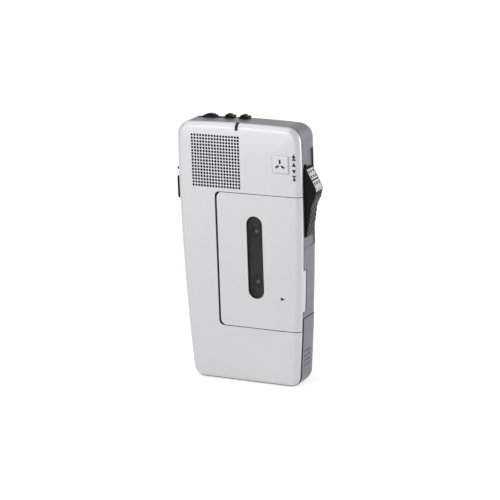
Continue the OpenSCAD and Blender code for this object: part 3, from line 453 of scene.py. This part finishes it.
# Slide control: a black nylon moulding with a thumb hump. Its flanks are smooth, the long ramp below
# the hump is cut into small diamonds for grip, and a silver pad is let into the slope above.
SLIDE_FRONT, SLIDE_BACK, SLIDE_MID = -7.0, 1.0, -3.0
SLIDE_X, SLIDE_LOW, SLIDE_HIGH = 31.06, 73.33, 106.03
ramp = [(32.45, SLIDE_LOW), (33.25, 77.58), (34.02, 81.51), (34.49, 84.78), (34.96, 87.55), (35.79, 89.68),
        (36.85, 91.64), (37.4, 93.4), (37.62, 94.4)]
PAD_TOP, PAD_LOW = Vector((33.05, SLIDE_HIGH)), Vector((37.5, 97.4))
nose = [PAD_LOW, Vector((37.82, 96.3)), Vector((37.8, 95.3))]
# Moulded black nylon: a deep, slightly grey black with a dull sheen and paler corners where thumbs rub.
# The spark-eroded grain of its mould is about 0.05 mm, too fine to show, and is drawn at 0.22 mm.
black_nylon = finish_of("moulded black nylon", "#0a0a0b", "#121214", 0.5, 0.22, 0.012, ior=1.53, metal=0.0,
                        worn="#2c2c2e", wear=0.4, gloss=0.1)
slider = prism([(SLIDE_X, SLIDE_LOW)] + ramp + [tuple(v) for v in reversed(nose)]
               + [tuple(PAD_TOP), (SLIDE_X, SLIDE_HIGH)], SLIDE_FRONT, SLIDE_BACK)
along = (PAD_TOP - PAD_LOW).normalized()
inward = Vector((-along.y, along.x))
pad_line = [(PAD_TOP - along * 0.6, inward), (nose[0], (inward + Vector((-1, -0.05))).normalized()),
            (nose[1], Vector((-1, -0.1))), (nose[2], Vector((-1, 0.1)))]


def pad_plan(out, deep):
    upper = [tuple(v - n * out) for v, n in pad_line]
    return upper + [tuple(v + n * deep) for v, n in reversed(pad_line)]


PAD_THICK, PAD_RIM, PAD_FIT = 0.6, 0.5, 0.05
carve(slider, prism(pad_plan(1.0, PAD_THICK),
                    SLIDE_FRONT + PAD_RIM - PAD_FIT, SLIDE_BACK - PAD_RIM + PAD_FIT))
carve(slider, block((LEG_X, LEG_FRONT, LEG_LOW), (LEG_ROOT, LEG_BACK, LEG_HIGH)), "UNION")
soften(slider, 0.3, 3, 25)
smooth(slider, 40)
place(slider, "slide_knob", black_nylon, "slide_control", "slide_control")

# Grip of the slide control: small raised diamonds moulded into the ramp below the hump, where two sets
# of slanting grooves cross. They fade out at the ends and sides of the ramp.
# The diamonds are a grey skin sunk half into the black slider, so that black shows between them; their grey
# is painted highlight.
GRIP_PITCH, GRIP_STEP, GRIP_RELIEF, GRIP_SUNK = 2.4, 0.16, 1.05, 0.5
GRIP_HALF, GRIP_COLUMNS = 3.7, 44
FADE_LOW, FADE_HIGH, FADE_SIDE = 1.0, 0.8, 0.35
path, length = [], 0.0
for (x0, z0), (x1, z1) in zip(ramp, ramp[1:]):
    run = math.hypot(x1 - x0, z1 - z0)
    out = Vector((z1 - z0, x0 - x1)).normalized()
    rows = max(2, round(run / GRIP_STEP))
    for i in range(rows):
        t = i / rows
        path.append((length + run * t, x0 + (x1 - x0) * t, z0 + (z1 - z0) * t, out))
    length += run
grip_rings = []
for s, x, z, out in path:
    ends = min(1.0, s / FADE_LOW, (length - s) / FADE_HIGH)
    ring = []
    for j in range(GRIP_COLUMNS + 1):
        y = -GRIP_HALF + 2 * GRIP_HALF * j / GRIP_COLUMNS
        side = min(1.0, (y + GRIP_HALF) / FADE_SIDE, (GRIP_HALF - y) / FADE_SIDE)
        crossing = abs(math.sin(math.pi * (s + y) / GRIP_PITCH))
        crossing *= abs(math.sin(math.pi * (s - y) / GRIP_PITCH))
        h = -GRIP_SUNK + min(ends, side) * GRIP_RELIEF * crossing
        ring.append((x + out.x * h, SLIDE_MID + y, z + out.y * h))
    for y in (GRIP_HALF, -GRIP_HALF):
        ring.append((x - out.x * GRIP_SUNK, SLIDE_MID + y, z - out.y * GRIP_SUNK))
    grip_rings.append(ring)
grip = solid("grip", grip_rings)
smooth(grip, 50)
# Grey nylon on the diamonds: a painted highlight that stands for their glints, lighter than the black
# slider, so that the diamonds stand out from it. Its grain is drawn at 0.22 mm too.
grip_highlight_nylon = finish_of("grey nylon with painted highlight", "#4c504e", "#5e6360", 0.34, 0.22, 0.012, ior=1.53, metal=0.0)
place(grip, "slide_grip", grip_highlight_nylon, "slide_control", None)

# Thumb pad of the slide control: a thin silver-sprayed insert pressed into the slope, pierced by rows
# of three round holes and a cross groove.
pad = prism(pad_plan(0.0, PAD_THICK), SLIDE_FRONT + PAD_RIM, SLIDE_BACK - PAD_RIM)
soften(pad, EASED)
pad_run = (PAD_TOP - PAD_LOW).length


def pad_cut(plan, share):
    middle = PAD_TOP - along * pad_run * share
    cutter = prism(plan, -0.8, 0.45, "z")
    for corner in cutter.data.vertices:
        u, v, d = corner.co / MM
        spot = middle + along * u - inward * d
        corner.co = Vector((spot.x, SLIDE_MID + v, spot.y)) * MM
    face_outward(cutter.data)
    carve(pad, cutter)


PAD_HOLE_R, PAD_HOLE_STEP, PAD_HOLE_STRETCH = 0.62, 2.3, 1.2
GROOVE_HALF, GROOVE_REACH = 0.33, 4.0
for share in (0.2, 0.46, 0.82):
    for i in (-1, 0, 1):
        ring = arc(0, 0, PAD_HOLE_R, 0, 345, 23)
        pad_cut([(PAD_HOLE_STRETCH * u, PAD_HOLE_STEP * i + v) for u, v in ring], share)
pad_cut([(u * GROOVE_HALF, v * GROOVE_REACH) for u, v in ((-1, -1), (1, -1), (1, 1), (-1, 1))], 0.63)
smooth(pad)
# Sprayed silver lacquer on the pad: a shade greyer and a little more metallic than the case; its holes
# and groove are darkened to black as painted shade. Its flakes are about 0.03 mm and are drawn at 0.14 mm.
pad_silver = finish_of("sprayed silver lacquer on pad", "#a2a3a6", "#afb0b3", 0.34, 0.14, 0.004,
                       ior=1.49, metal=0.5, worn="#d0d0d2", wear=0.3, painted_shade="#08080a")
place(pad, "slide_thumb_pad", pad_silver, "slide_control", "slide_pad")

# Volume wheel: a black acetal disc with a knurled rim, moulded in one with its hub and pressed onto the
# shaft of the volume control. Its rim shows through a slot in the upper end.
RIDGES = 30
knurl = [0.0, 0.0, 0.0, 0.06, 0.2, 0.24, 0.2, 0.06]
rim = [(2 * math.pi * i / (RIDGES * len(knurl)), WHEEL_R - knurl[i % len(knurl)])
       for i in range(RIDGES * len(knurl))]
wheel = solid("wheel", [
    [(WHEEL_X + (r - cut) * math.cos(a), y, WHEEL_Z + (r - cut) * math.sin(a)) for a, r in rim]
    for y, cut in (
        (WHEEL_FRONT, 2.5), (WHEEL_FRONT, 0.5), (-0.36, 0.2), (-0.1, 0.0), (2.1, 0.0), (2.36, 0.2),
        (WHEEL_BACK, 0.5), (WHEEL_BACK, 5.4), (4.8, 5.4))])
smooth(wheel, 30)
# Moulded black acetal: black with a soft, slightly waxy sheen, and grey on rubbed ridges. Its grain is
# about 0.05 mm, too fine to show, and is drawn at 0.25 mm.
black_acetal = finish_of("moulded black acetal", "#070708", "#0f0f10", 0.42, 0.25, 0.01, ior=1.48, metal=0.0,
                         worn="#333337", wear=0.35, gloss=0.12)
place(wheel, "volume_knob", black_acetal, "volume_wheel", "volume_wheel")

# Upper slide switches: two small black knobs, each with three finger ridges and a lower step, on stems
# that reach through the case to the switches below.
KNOB_HALF, KNOB_LIFT, KNOB_LOW, KNOB_FRONT, KNOB_BACK = 2.5, 0.2, 0.7, -1.0, 3.0
RIDGE_STEP, STEM_LOW, STEM_INTO = 0.85, 120.5, 0.3
for name, node, body, x in (("left_knob", "switch_knob_left", "left_switch", SWITCH_X[0]),
                            ("right_knob", "switch_knob_right", "right_switch", SWITCH_X[1])):
    low, start, end = top_height(x) + KNOB_LIFT, x - KNOB_HALF, x + KNOB_HALF
    form = [(start, 0.0), (start, 0.6), (start + 0.9, KNOB_LOW)]
    for i, tall in enumerate((1.5, 1.7, 1.5)):
        edge = start + 1.0 + RIDGE_STEP * i
        form += [(edge, KNOB_LOW), (edge + 0.08, tall), (edge + 0.47, tall), (edge + 0.55, KNOB_LOW)]
    form += [(end - 1.4, KNOB_LOW), (end - 1.3, 1.05), (end - 0.28, 1.0), (end - 0.15, 0.6), (end, 0.5),
             (end, 0.0)]
    knob = prism([(u, low + v) for u, v in form], KNOB_FRONT, KNOB_BACK)
    carve(knob, block((x - STEM_HALF, STEM_FRONT, STEM_LOW),
                      (x + STEM_HALF, STEM_BACK, low + STEM_INTO)), "UNION")
    soften(knob, 0.12, 2, 30)
    smooth(knob, 40)
    place(knob, name, black_acetal, body, node)

# Light strip: a small bar of clear red acrylic, moulded, polished and pressed into a slot over the upper
# front edge. It carries the light of the record lamp behind it and is dark until that is lit.
strip = case_form(0, FORM_STEPS, FORM_TURNS)
carve(strip, case_form(WALL, INNER_STEPS, INNER_TURNS))
carve(strip, block((STRIP_LEFT + STRIP_FIT, AHEAD, STRIP_LOW + STRIP_FIT),
                   (STRIP_RIGHT - STRIP_FIT, SEAM - SEAM_HALF, OVER)), "INTERSECT")
soften(strip, 0.08)
smooth(strip)
# Polished dark red acrylic: glossy and almost black with no light behind it, red only at a close look.
# A polished bar has no grain: its faint ripple is drawn at 2 mm.
red_acrylic = finish_of("polished dark red acrylic", "#12090a", "#1a0d0f", 0.12, 2.0, 0.002,
                        ior=1.49, metal=0.0, gloss=0.25)
place(strip, "light_strip", red_acrylic, "case", "light_pipe")

# Side buttons: a long key with rounded ends and a small round one on the left side, moulded in black
# acetal. Each comes through its hole from inside, where a flange keeps it from falling out.
BUTTON_X, BUTTON_OUT, FLANGE_IN, FLANGE_DEEP = -31.97, 2.2, 1.9, 2.6
BUTTON_TIP = BUTTON_X - BUTTON_OUT
key = [(BUTTON_TIP, 0.75), (BUTTON_TIP + 0.07, 0.4), (BUTTON_TIP + 0.3, 0.12), (BUTTON_TIP + 0.6, 0.0),
       (BUTTON_X + FLANGE_IN, 0.0)]


def slot_plan(y, z0, z1, half, inset):
    r = half - inset
    return arc(y, z1 - half, r, 0, 180, 14) + arc(y, z0 + half, r, 180, 360, 14)


button = solid("button", [
    [(x, y, z) for y, z in slot_plan(BUTTON_Y, BUTTON_LOW, BUTTON_HIGH, BUTTON_HALF, cut)] for x, cut in key])
carve(button, block((BUTTON_X + FLANGE_IN, BUTTON_Y - 2, BUTTON_LOW - 2 * ROOM),
                    (BUTTON_X + FLANGE_DEEP, BUTTON_Y + 2, BUTTON_HIGH + 2 * ROOM)), "UNION")
smooth(button, 45)
place(button, "record_key", black_acetal, "record_button", "record_button")
NUB_X = -half_width(NUB_Z)
nub = solid("nub", [
    [(x, y, z) for y, z in arc(BUTTON_Y, NUB_Z, r, 0, 345, 23)]
    for x, r in (
        (NUB_X - 2.2, 0.3), (NUB_X - 2.1, 0.55), (NUB_X - 1.85, 0.74), (NUB_X - 1.55, NUB_R),
        (NUB_X + FLANGE_IN, NUB_R), (NUB_X + FLANGE_IN, 1.4), (NUB_X + FLANGE_DEEP, 1.4))])
smooth(nub, 40)
place(nub, "index_key", black_acetal, "index_button", "index_button")

# Earphone socket: a body moulded in black acetal, with a round collar that fills the hole in the left
# side. The collar holds it there, and it takes a 3.5 mm plug.
dress(nodes["earphone_jack"], black_acetal)

# Microphone plate: a small square of silver-sprayed ABS with bevelled edges, bonded onto the face,
# with three radial sound slots moulded through it.
MIC_WIDE, MIC_TALL = 4.3, 4.15
MIC_SLOT_HALF, MIC_SLOT_RUN, MIC_SLOT_AT = 0.46, 0.62, 1.6
mic = solid("mic", [
    [(MIC_X + u * (MIC_WIDE - cut), y, MIC_Z + v * (MIC_TALL - cut))
     for u, v in ((-1, -1), (1, -1), (1, 1), (-1, 1))]
    for y, cut in ((-10.7, 0.0), (-11.02, 0.0), (-11.5, 0.5))])
soften(mic, 0.12, 3, 20)
for turn in (90, 210, 330):
    a = math.radians(turn)
    slot = stadium(0, 0, MIC_SLOT_HALF, MIC_SLOT_RUN, 10)
    slot = [(MIC_X + u * math.sin(a) + (v + MIC_SLOT_AT) * math.cos(a),
             MIC_Z + (v + MIC_SLOT_AT) * math.sin(a) - u * math.cos(a)) for u, v in slot]
    carve(mic, prism(slot, -13, -9))
smooth(mic)
place(mic, "microphone_plate", silver_lacquer, "case", "mic_plate")
# The slot walls take the same dead black: bare plastic and painted shade.
blacken_hole_walls(mic, MIC_X, MIC_Z, 3.2)

# Printed marks: black pad-printed symbols on the lacquer, a column of plain arrows beside the slide
# control and one arrow by the door's lip.
UP = [(-1.05, -0.52), (1.05, -0.52), (0.0, 0.52)]
DOWN = [(-1.05, 0.52), (0.0, -0.52), (1.05, 0.52)]
RIGHT = [(-1.0, -0.9), (1.1, 0.0), (-1.0, 0.9)]
DOT = arc(0, 0, 0.68, 0, 337.5, 15)


def face_depth(x, z):
    inset = half_width(z) - x
    if inset >= RIM_R:
        return FRONT + crown(inset)
    return FRONT + CROWN + (RIM_R - CROWN) * (1 - math.sin(math.acos(1 - inset / RIM_R)))


# Pad-printed black ink: a flat matt black that stands off the sheen of the lacquer. Its film has pores of
# about 0.02 mm, too fine to show, and they are drawn at 0.12 mm.
print_ink = finish_of("pad-printed black ink", "#060607", "#0c0c0d", 0.5, 0.12, 0.002, ior=1.5, metal=0.0)
COLUMN_X, INK_SUNK, INK_PROUD = 28.85, -0.07, 0.12
column = [(COLUMN_X, z, tall, mark, "case") for z, tall, mark in (
    (112.5, 1.7, UP), (111.1, 1.4, UP), (108.6, 2.1, UP),
    (105.2, 1.8, DOWN), (102.7, 1.4, DOWN), (101.4, 1.0, DOT))]
for i, (x, z, tall, mark, body) in enumerate(column + [(21.3, 43.5, 1.0, RIGHT, "door")]):
    flat = [(x + u, z + v * tall) for u, v in mark]
    symbol = solid("mark", [
        [(u, face_depth(u, v) + lift, v) for u, v in flat] for lift in (INK_SUNK, INK_PROUD)])
    place(symbol, "printed_mark_%d" % (i + 1), print_ink, body, None)

# Case screws: three cross-head screws of blackened steel. They are sunk in the back, pass through the
# rear half and hold it to the front.

# Blackened steel: a dark grey metal with bright edges where the driver has slipped. Its rolled grain is
# drawn at 0.3 mm.
blackened_steel = finish_of("blackened steel", "#1b1b1d", "#2a2a2d", 0.38, 0.3, 0.006,
                            worn="#77777c", wear=0.6)
dress(nodes["case_screws"], blackened_steel)

# Loudspeaker and microphone behind the front: a pressed frame with a paper cone on a foam ring, a
# ferrite magnet, and a small plated capsule behind the microphone plate.

# Zinc-plated pressed steel: a pale, slightly cloudy metal with brighter edges.
pressed_steel = finish_of("zinc-plated pressed steel", "#9fa2a6", "#b4b7ba", 0.3, 0.5, 0.004,
                          worn="#d6d8da", wear=0.4)
# Pressed cone paper: a dull brownish black with fibres of 0.4 mm.
cone_paper = finish_of("pressed cone paper", "#1f1d1a", "#2c2925", 0.85, 0.4, 0.02, ior=1.5, metal=0.0)
# Cut black foam rubber: black without any sheen, with open cells of 0.3 mm.
foam = finish_of("cut black foam rubber", "#0f0f0f", "#1a1a1a", 0.9, 0.3, 0.03, ior=1.52, metal=0.0)
# Sintered ferrite: a dull dark grey stone. Its grain is about 0.01 mm, and is drawn at 0.6 mm to show.
ferrite = finish_of("sintered ferrite", "#3a3a3c", "#474749", 0.6, 0.6, 0.01, ior=2.3, metal=0.0)
for node, material in (
        ("speaker_frame", pressed_steel), ("speaker_cone", cone_paper), ("speaker_gasket", foam),
        ("speaker_magnet", ferrite), ("mic_capsule", pressed_steel)):
    dress(nodes[node], material)

# Tape deck: a plated plate on posts carries the motor, belt, flywheel with the capstan, idler, and the
# two off-white spindles with polished tips; heads and pinch roller stand on a slide beside the cassette.

# Turned brass: warm yellow metal with a clear sheen; the marks of the tool are drawn at 0.5 mm.
brass = finish_of("turned brass", "#b08d4a", "#c39f58", 0.28, 0.5, 0.003, worn="#e3c98d", wear=0.3)
# Sintered bronze: a dull brown metal full of oil pores, drawn at 0.3 mm.
bronze = finish_of("sintered bronze", "#8a6238", "#9b7145", 0.42, 0.3, 0.006)
# Ground black rubber: a dusty black with no sheen; the grit of the wheel is drawn at 0.3 mm.
rubber = finish_of("ground black rubber", "#101010", "#1b1b1b", 0.8, 0.3, 0.02, ior=1.52, metal=0.0)
# Moulded natural acetal, drawn as a greyish off-white in painted shade beside the white tips: waxy, its flow
# marks drawn at 0.5 mm.
shaded_natural_acetal = finish_of("moulded natural acetal", "#8f8f8b", "#9b9b96", 0.4, 0.5, 0.004,
                           ior=1.48, metal=0.0)
# White acetal on the spindle tips: a painted glint, a bright white bead that stays visible through the dark
# window.
glint_white_acetal = finish_of("white acetal with painted glint", "#f0f0ec", "#f7f7f3", 0.2, 0.5, 0.002, ior=1.48, metal=0.0)
# Polished head steel: a bright, cool mirror with faint lapping marks drawn at 0.6 mm.
head_steel = finish_of("polished head steel", "#b9bcc2", "#c8cbd0", 0.16, 0.6, 0.001)
for node, material in (
        ("deck_plate", pressed_steel), ("deck_screws", pressed_steel), ("motor", pressed_steel),
        ("motor_pulley", brass), ("drive_belt", rubber), ("flywheel", brass), ("capstan_bush", bronze),
        ("idler_wheel", rubber), ("idler_pin", pressed_steel), ("supply_spindle", shaded_natural_acetal),
        ("takeup_spindle", shaded_natural_acetal), ("head_slide", pressed_steel), ("play_head", head_steel),
        ("erase_head", black_acetal), ("pinch_roller", rubber), ("pinch_pin", pressed_steel),
        ("hinge_pins", pressed_steel)):
    dress(nodes[node], material)
# White domes on the spindle tips: painted glints.
TIP_R, TIP_LOW, TIP_HIGH = 0.8, 50.2, 74.6
for name, body, z in (("supply_tip", "supply_reel", TIP_LOW), ("takeup_tip", "takeup_reel", TIP_HIGH)):
    tip = solid(name, [
        [(x, y, h) for x, h in arc(WINDOW_X, z, r, 0, 345, 23)]
        for y, r in ((-7.7, TIP_R), (-8.3, TIP_R), (-8.52, 0.71), (-8.7, 0.5), (-8.82, 0.24), (-8.85, 0.04))])
    smooth(tip, 60)
    place(tip, name, glint_white_acetal, body, None)

# Cassette: a shell moulded in dark grey styrene, in two halves, with two hubs of brown tape. It lies on
# the deck with the spindles in its hubs.

# Moulded dark grey styrene: near black behind the window, hard and faintly shiny; its grain is drawn at
# 0.35 mm.
styrene = finish_of("moulded dark grey styrene", "#121516", "#1a1e1f", 0.42, 0.35, 0.008,
                    ior=1.59, metal=0.0, worn="#3a3d3e", wear=0.3)
# Coated brown tape: a silky brown pack. Its turns are about 0.02 mm, and are drawn at 0.08 mm.
tape = finish_of("coated brown tape", "#3a2418", "#4a2f20", 0.3, 0.08, 0.01, ior=1.6, metal=0.0)
for node, material in (("cassette_shell", styrene), ("supply_reel", tape), ("takeup_reel", tape)):
    dress(nodes[node], material)

# Battery bay and electrics: two cells between sprung contacts, the circuit board and the switches
# soldered to it, the volume control and the lamp behind the light strip.

# Printed cell jacket: a shiny film over metallic brown ink; its rosettes are drawn at 0.8 mm.
cell_jacket = finish_of("printed cell jacket", "#8a5a26", "#9c6a30", 0.32, 0.8, 0.003, ior=1.53, metal=0.3)
# Nickel-plated brass: a warm white metal with a clear sheen; its rolled grain is drawn at 0.4 mm.
nickel = finish_of("nickel-plated brass", "#b9ad92", "#cabea4", 0.28, 0.4, 0.004)
# Rolled spring bronze: a reddish metal with a clear sheen; its rolled grain is drawn at 0.4 mm.
spring_bronze = finish_of("rolled spring bronze", "#a87a45", "#bb8c54", 0.3, 0.4, 0.004)
# Printed green solder resist: a dark, half-glossy green with the 0.5 mm weave of the board under it.
board_resist = finish_of("printed green solder resist", "#123d24", "#1a4d2e", 0.4, 0.5, 0.01,
                         ior=1.55, metal=0.0)
# Moulded grey phenolic: a dull, hard grey with flecks of filler, drawn at 0.4 mm.
grey_phenolic = finish_of("moulded grey phenolic", "#34383b", "#3f4447", 0.55, 0.4, 0.01, ior=1.6, metal=0.0)
# Cast red epoxy: a glossy deep red bead; the ripple of its casting is drawn at 1 mm.
red_lens = finish_of("cast red epoxy", "#6d1014", "#82161a", 0.15, 1.0, 0.002, ior=1.55, metal=0.0)
for node, material in (
        ("battery_cells", cell_jacket), ("bay_contacts", nickel), ("cover_contact", nickel),
        ("door_catch", spring_bronze), ("circuit_board", board_resist), ("main_switch", grey_phenolic),
        ("switch_bodies", grey_phenolic), ("side_switches", grey_phenolic), ("volume_pot", grey_phenolic),
        ("record_lamp", red_lens)):
    dress(nodes[node], material)

# Floor: a wide sheet of pale matt board that the machine stands on. It takes the soft shadow, and its
# glow brings it up to white to the eye and in reflections.
FLOOR_HALF, FLOOR_GLOW, FLOOR_LIFT = 3, 0.28, 0.34
floor_mesh = bpy.data.meshes.new("floor")
floor_mesh.from_pydata([(u * FLOOR_HALF, v * FLOOR_HALF, 0) for u, v in ((-1, -1), (1, -1), (1, 1), (-1, 1))],
                       [], [(0, 1, 2, 3)])
floor = stand("floor", floor_mesh)
# Matt white board: a plain white without sheen; its fibres are drawn at 0.6 mm.
white_board = finish_of("matt white board", "#e6e6e6", "#ececec", 0.9, 0.6, 0.002, ior=1.5, metal=0.0)


def seen_white(tree):
    rays = add_node(tree, "ShaderNodeLightPath")
    direct = add_node(tree, "ShaderNodeMath", {
        0: rays.outputs["Is Camera Ray"], 1: rays.outputs["Is Glossy Ray"]}, operation="MAXIMUM")
    through = add_node(tree, "ShaderNodeMath", {
        0: direct.outputs[0], 1: rays.outputs["Is Transmission Ray"]}, operation="MAXIMUM")
    return through.outputs[0]


board = white_board.node_tree
glow = board.nodes["Principled BSDF"].inputs
glow["Emission Color"].default_value = srgb("#ffffff")
lift = add_node(board, "ShaderNodeMath", {0: seen_white(board), 1: FLOOR_LIFT, 2: FLOOR_GLOW},
                operation="MULTIPLY_ADD")
board.links.new(lift.outputs[0], glow["Emission Strength"])
dress(floor, white_board)

# Studio light: a white surround that shows as plain white behind the machine, a large soft light to
# the left of the camera and one overhead, a strip at the right that draws the rim, and a weak one behind.
AMBIENT = 0.36
scene.world = bpy.data.worlds.new("white surround")
scene.world.use_nodes = True
sky = scene.world.node_tree
ambient = sky.nodes["Background"]
ambient.inputs["Color"].default_value = srgb("#ffffff")
ambient.inputs["Strength"].default_value = AMBIENT
plain = add_node(sky, "ShaderNodeBackground", {"Color": srgb("#ffffff"), "Strength": 1.0})
both = add_node(sky, "ShaderNodeMixShader", {0: seen_white(sky), 1: ambient.outputs[0], 2: plain.outputs[0]})
sky.links.new(both.outputs[0], sky.nodes["World Output"].inputs["Surface"])


def soft_light(name, spot, aim, size, watts, colour):
    data = bpy.data.lights.new(name, "AREA")
    data.shape = "RECTANGLE"
    data.size, data.size_y = size
    data.energy = watts
    data.color = srgb(colour)[:3]
    lamp = stand(name, data)
    lamp.location = spot
    lamp.rotation_mode = "QUATERNION"
    lamp.rotation_quaternion = (Vector(aim) - Vector(spot)).to_track_quat("-Z", "Y")


soft_light("key light", (-0.55, -1.0, 0.35), (0, 0, 0.07), (0.8, 0.8), 3.9, "#ffffff")
soft_light("overhead light", (-0.4, -0.27, 0.98), (0, 0, 0.1), (0.9, 0.9), 3.0, "#fdfdff")
soft_light("right light", (0.8, 0.22, 0.12), (0, 0, 0.06), (0.15, 0.6), 3.0, "#ffffff")
soft_light("rear light", (0.5, 0.86, 0.3), (0, 0, 0.1), (0.5, 0.4), 0.8, "#fbfcff")

# Camera: a long lens at one metre, to the right of the machine and a little above it, turned slightly
# about its own axis, as the photograph was taken.
AZIMUTH, ELEVATION, ROLL, DISTANCE = math.radians(26.54), math.radians(15.39), 0.0341, 1.0
TARGET = Vector((5.1, -11.0, 66.0)) * MM
FOCAL, SENSOR = 153.96, 36.0
level = math.cos(ELEVATION)
away = Vector((math.sin(AZIMUTH) * level, -math.cos(AZIMUTH) * level, math.sin(ELEVATION)))
lens = bpy.data.cameras.new("camera")
lens.sensor_width = SENSOR
lens.lens = FOCAL
lens.clip_start, lens.clip_end = 0.05, 20.0
camera = stand("camera", lens)
camera.location = TARGET + away * DISTANCE
camera.rotation_mode = "QUATERNION"
lean = Vector((0, 1, 0)).rotation_difference(Vector((math.sin(ROLL), math.cos(ROLL), 0)))
camera.rotation_quaternion = (-away).to_track_quat("-Z", "Y") @ lean
scene.camera = camera
scene.view_settings.view_transform = "Standard"
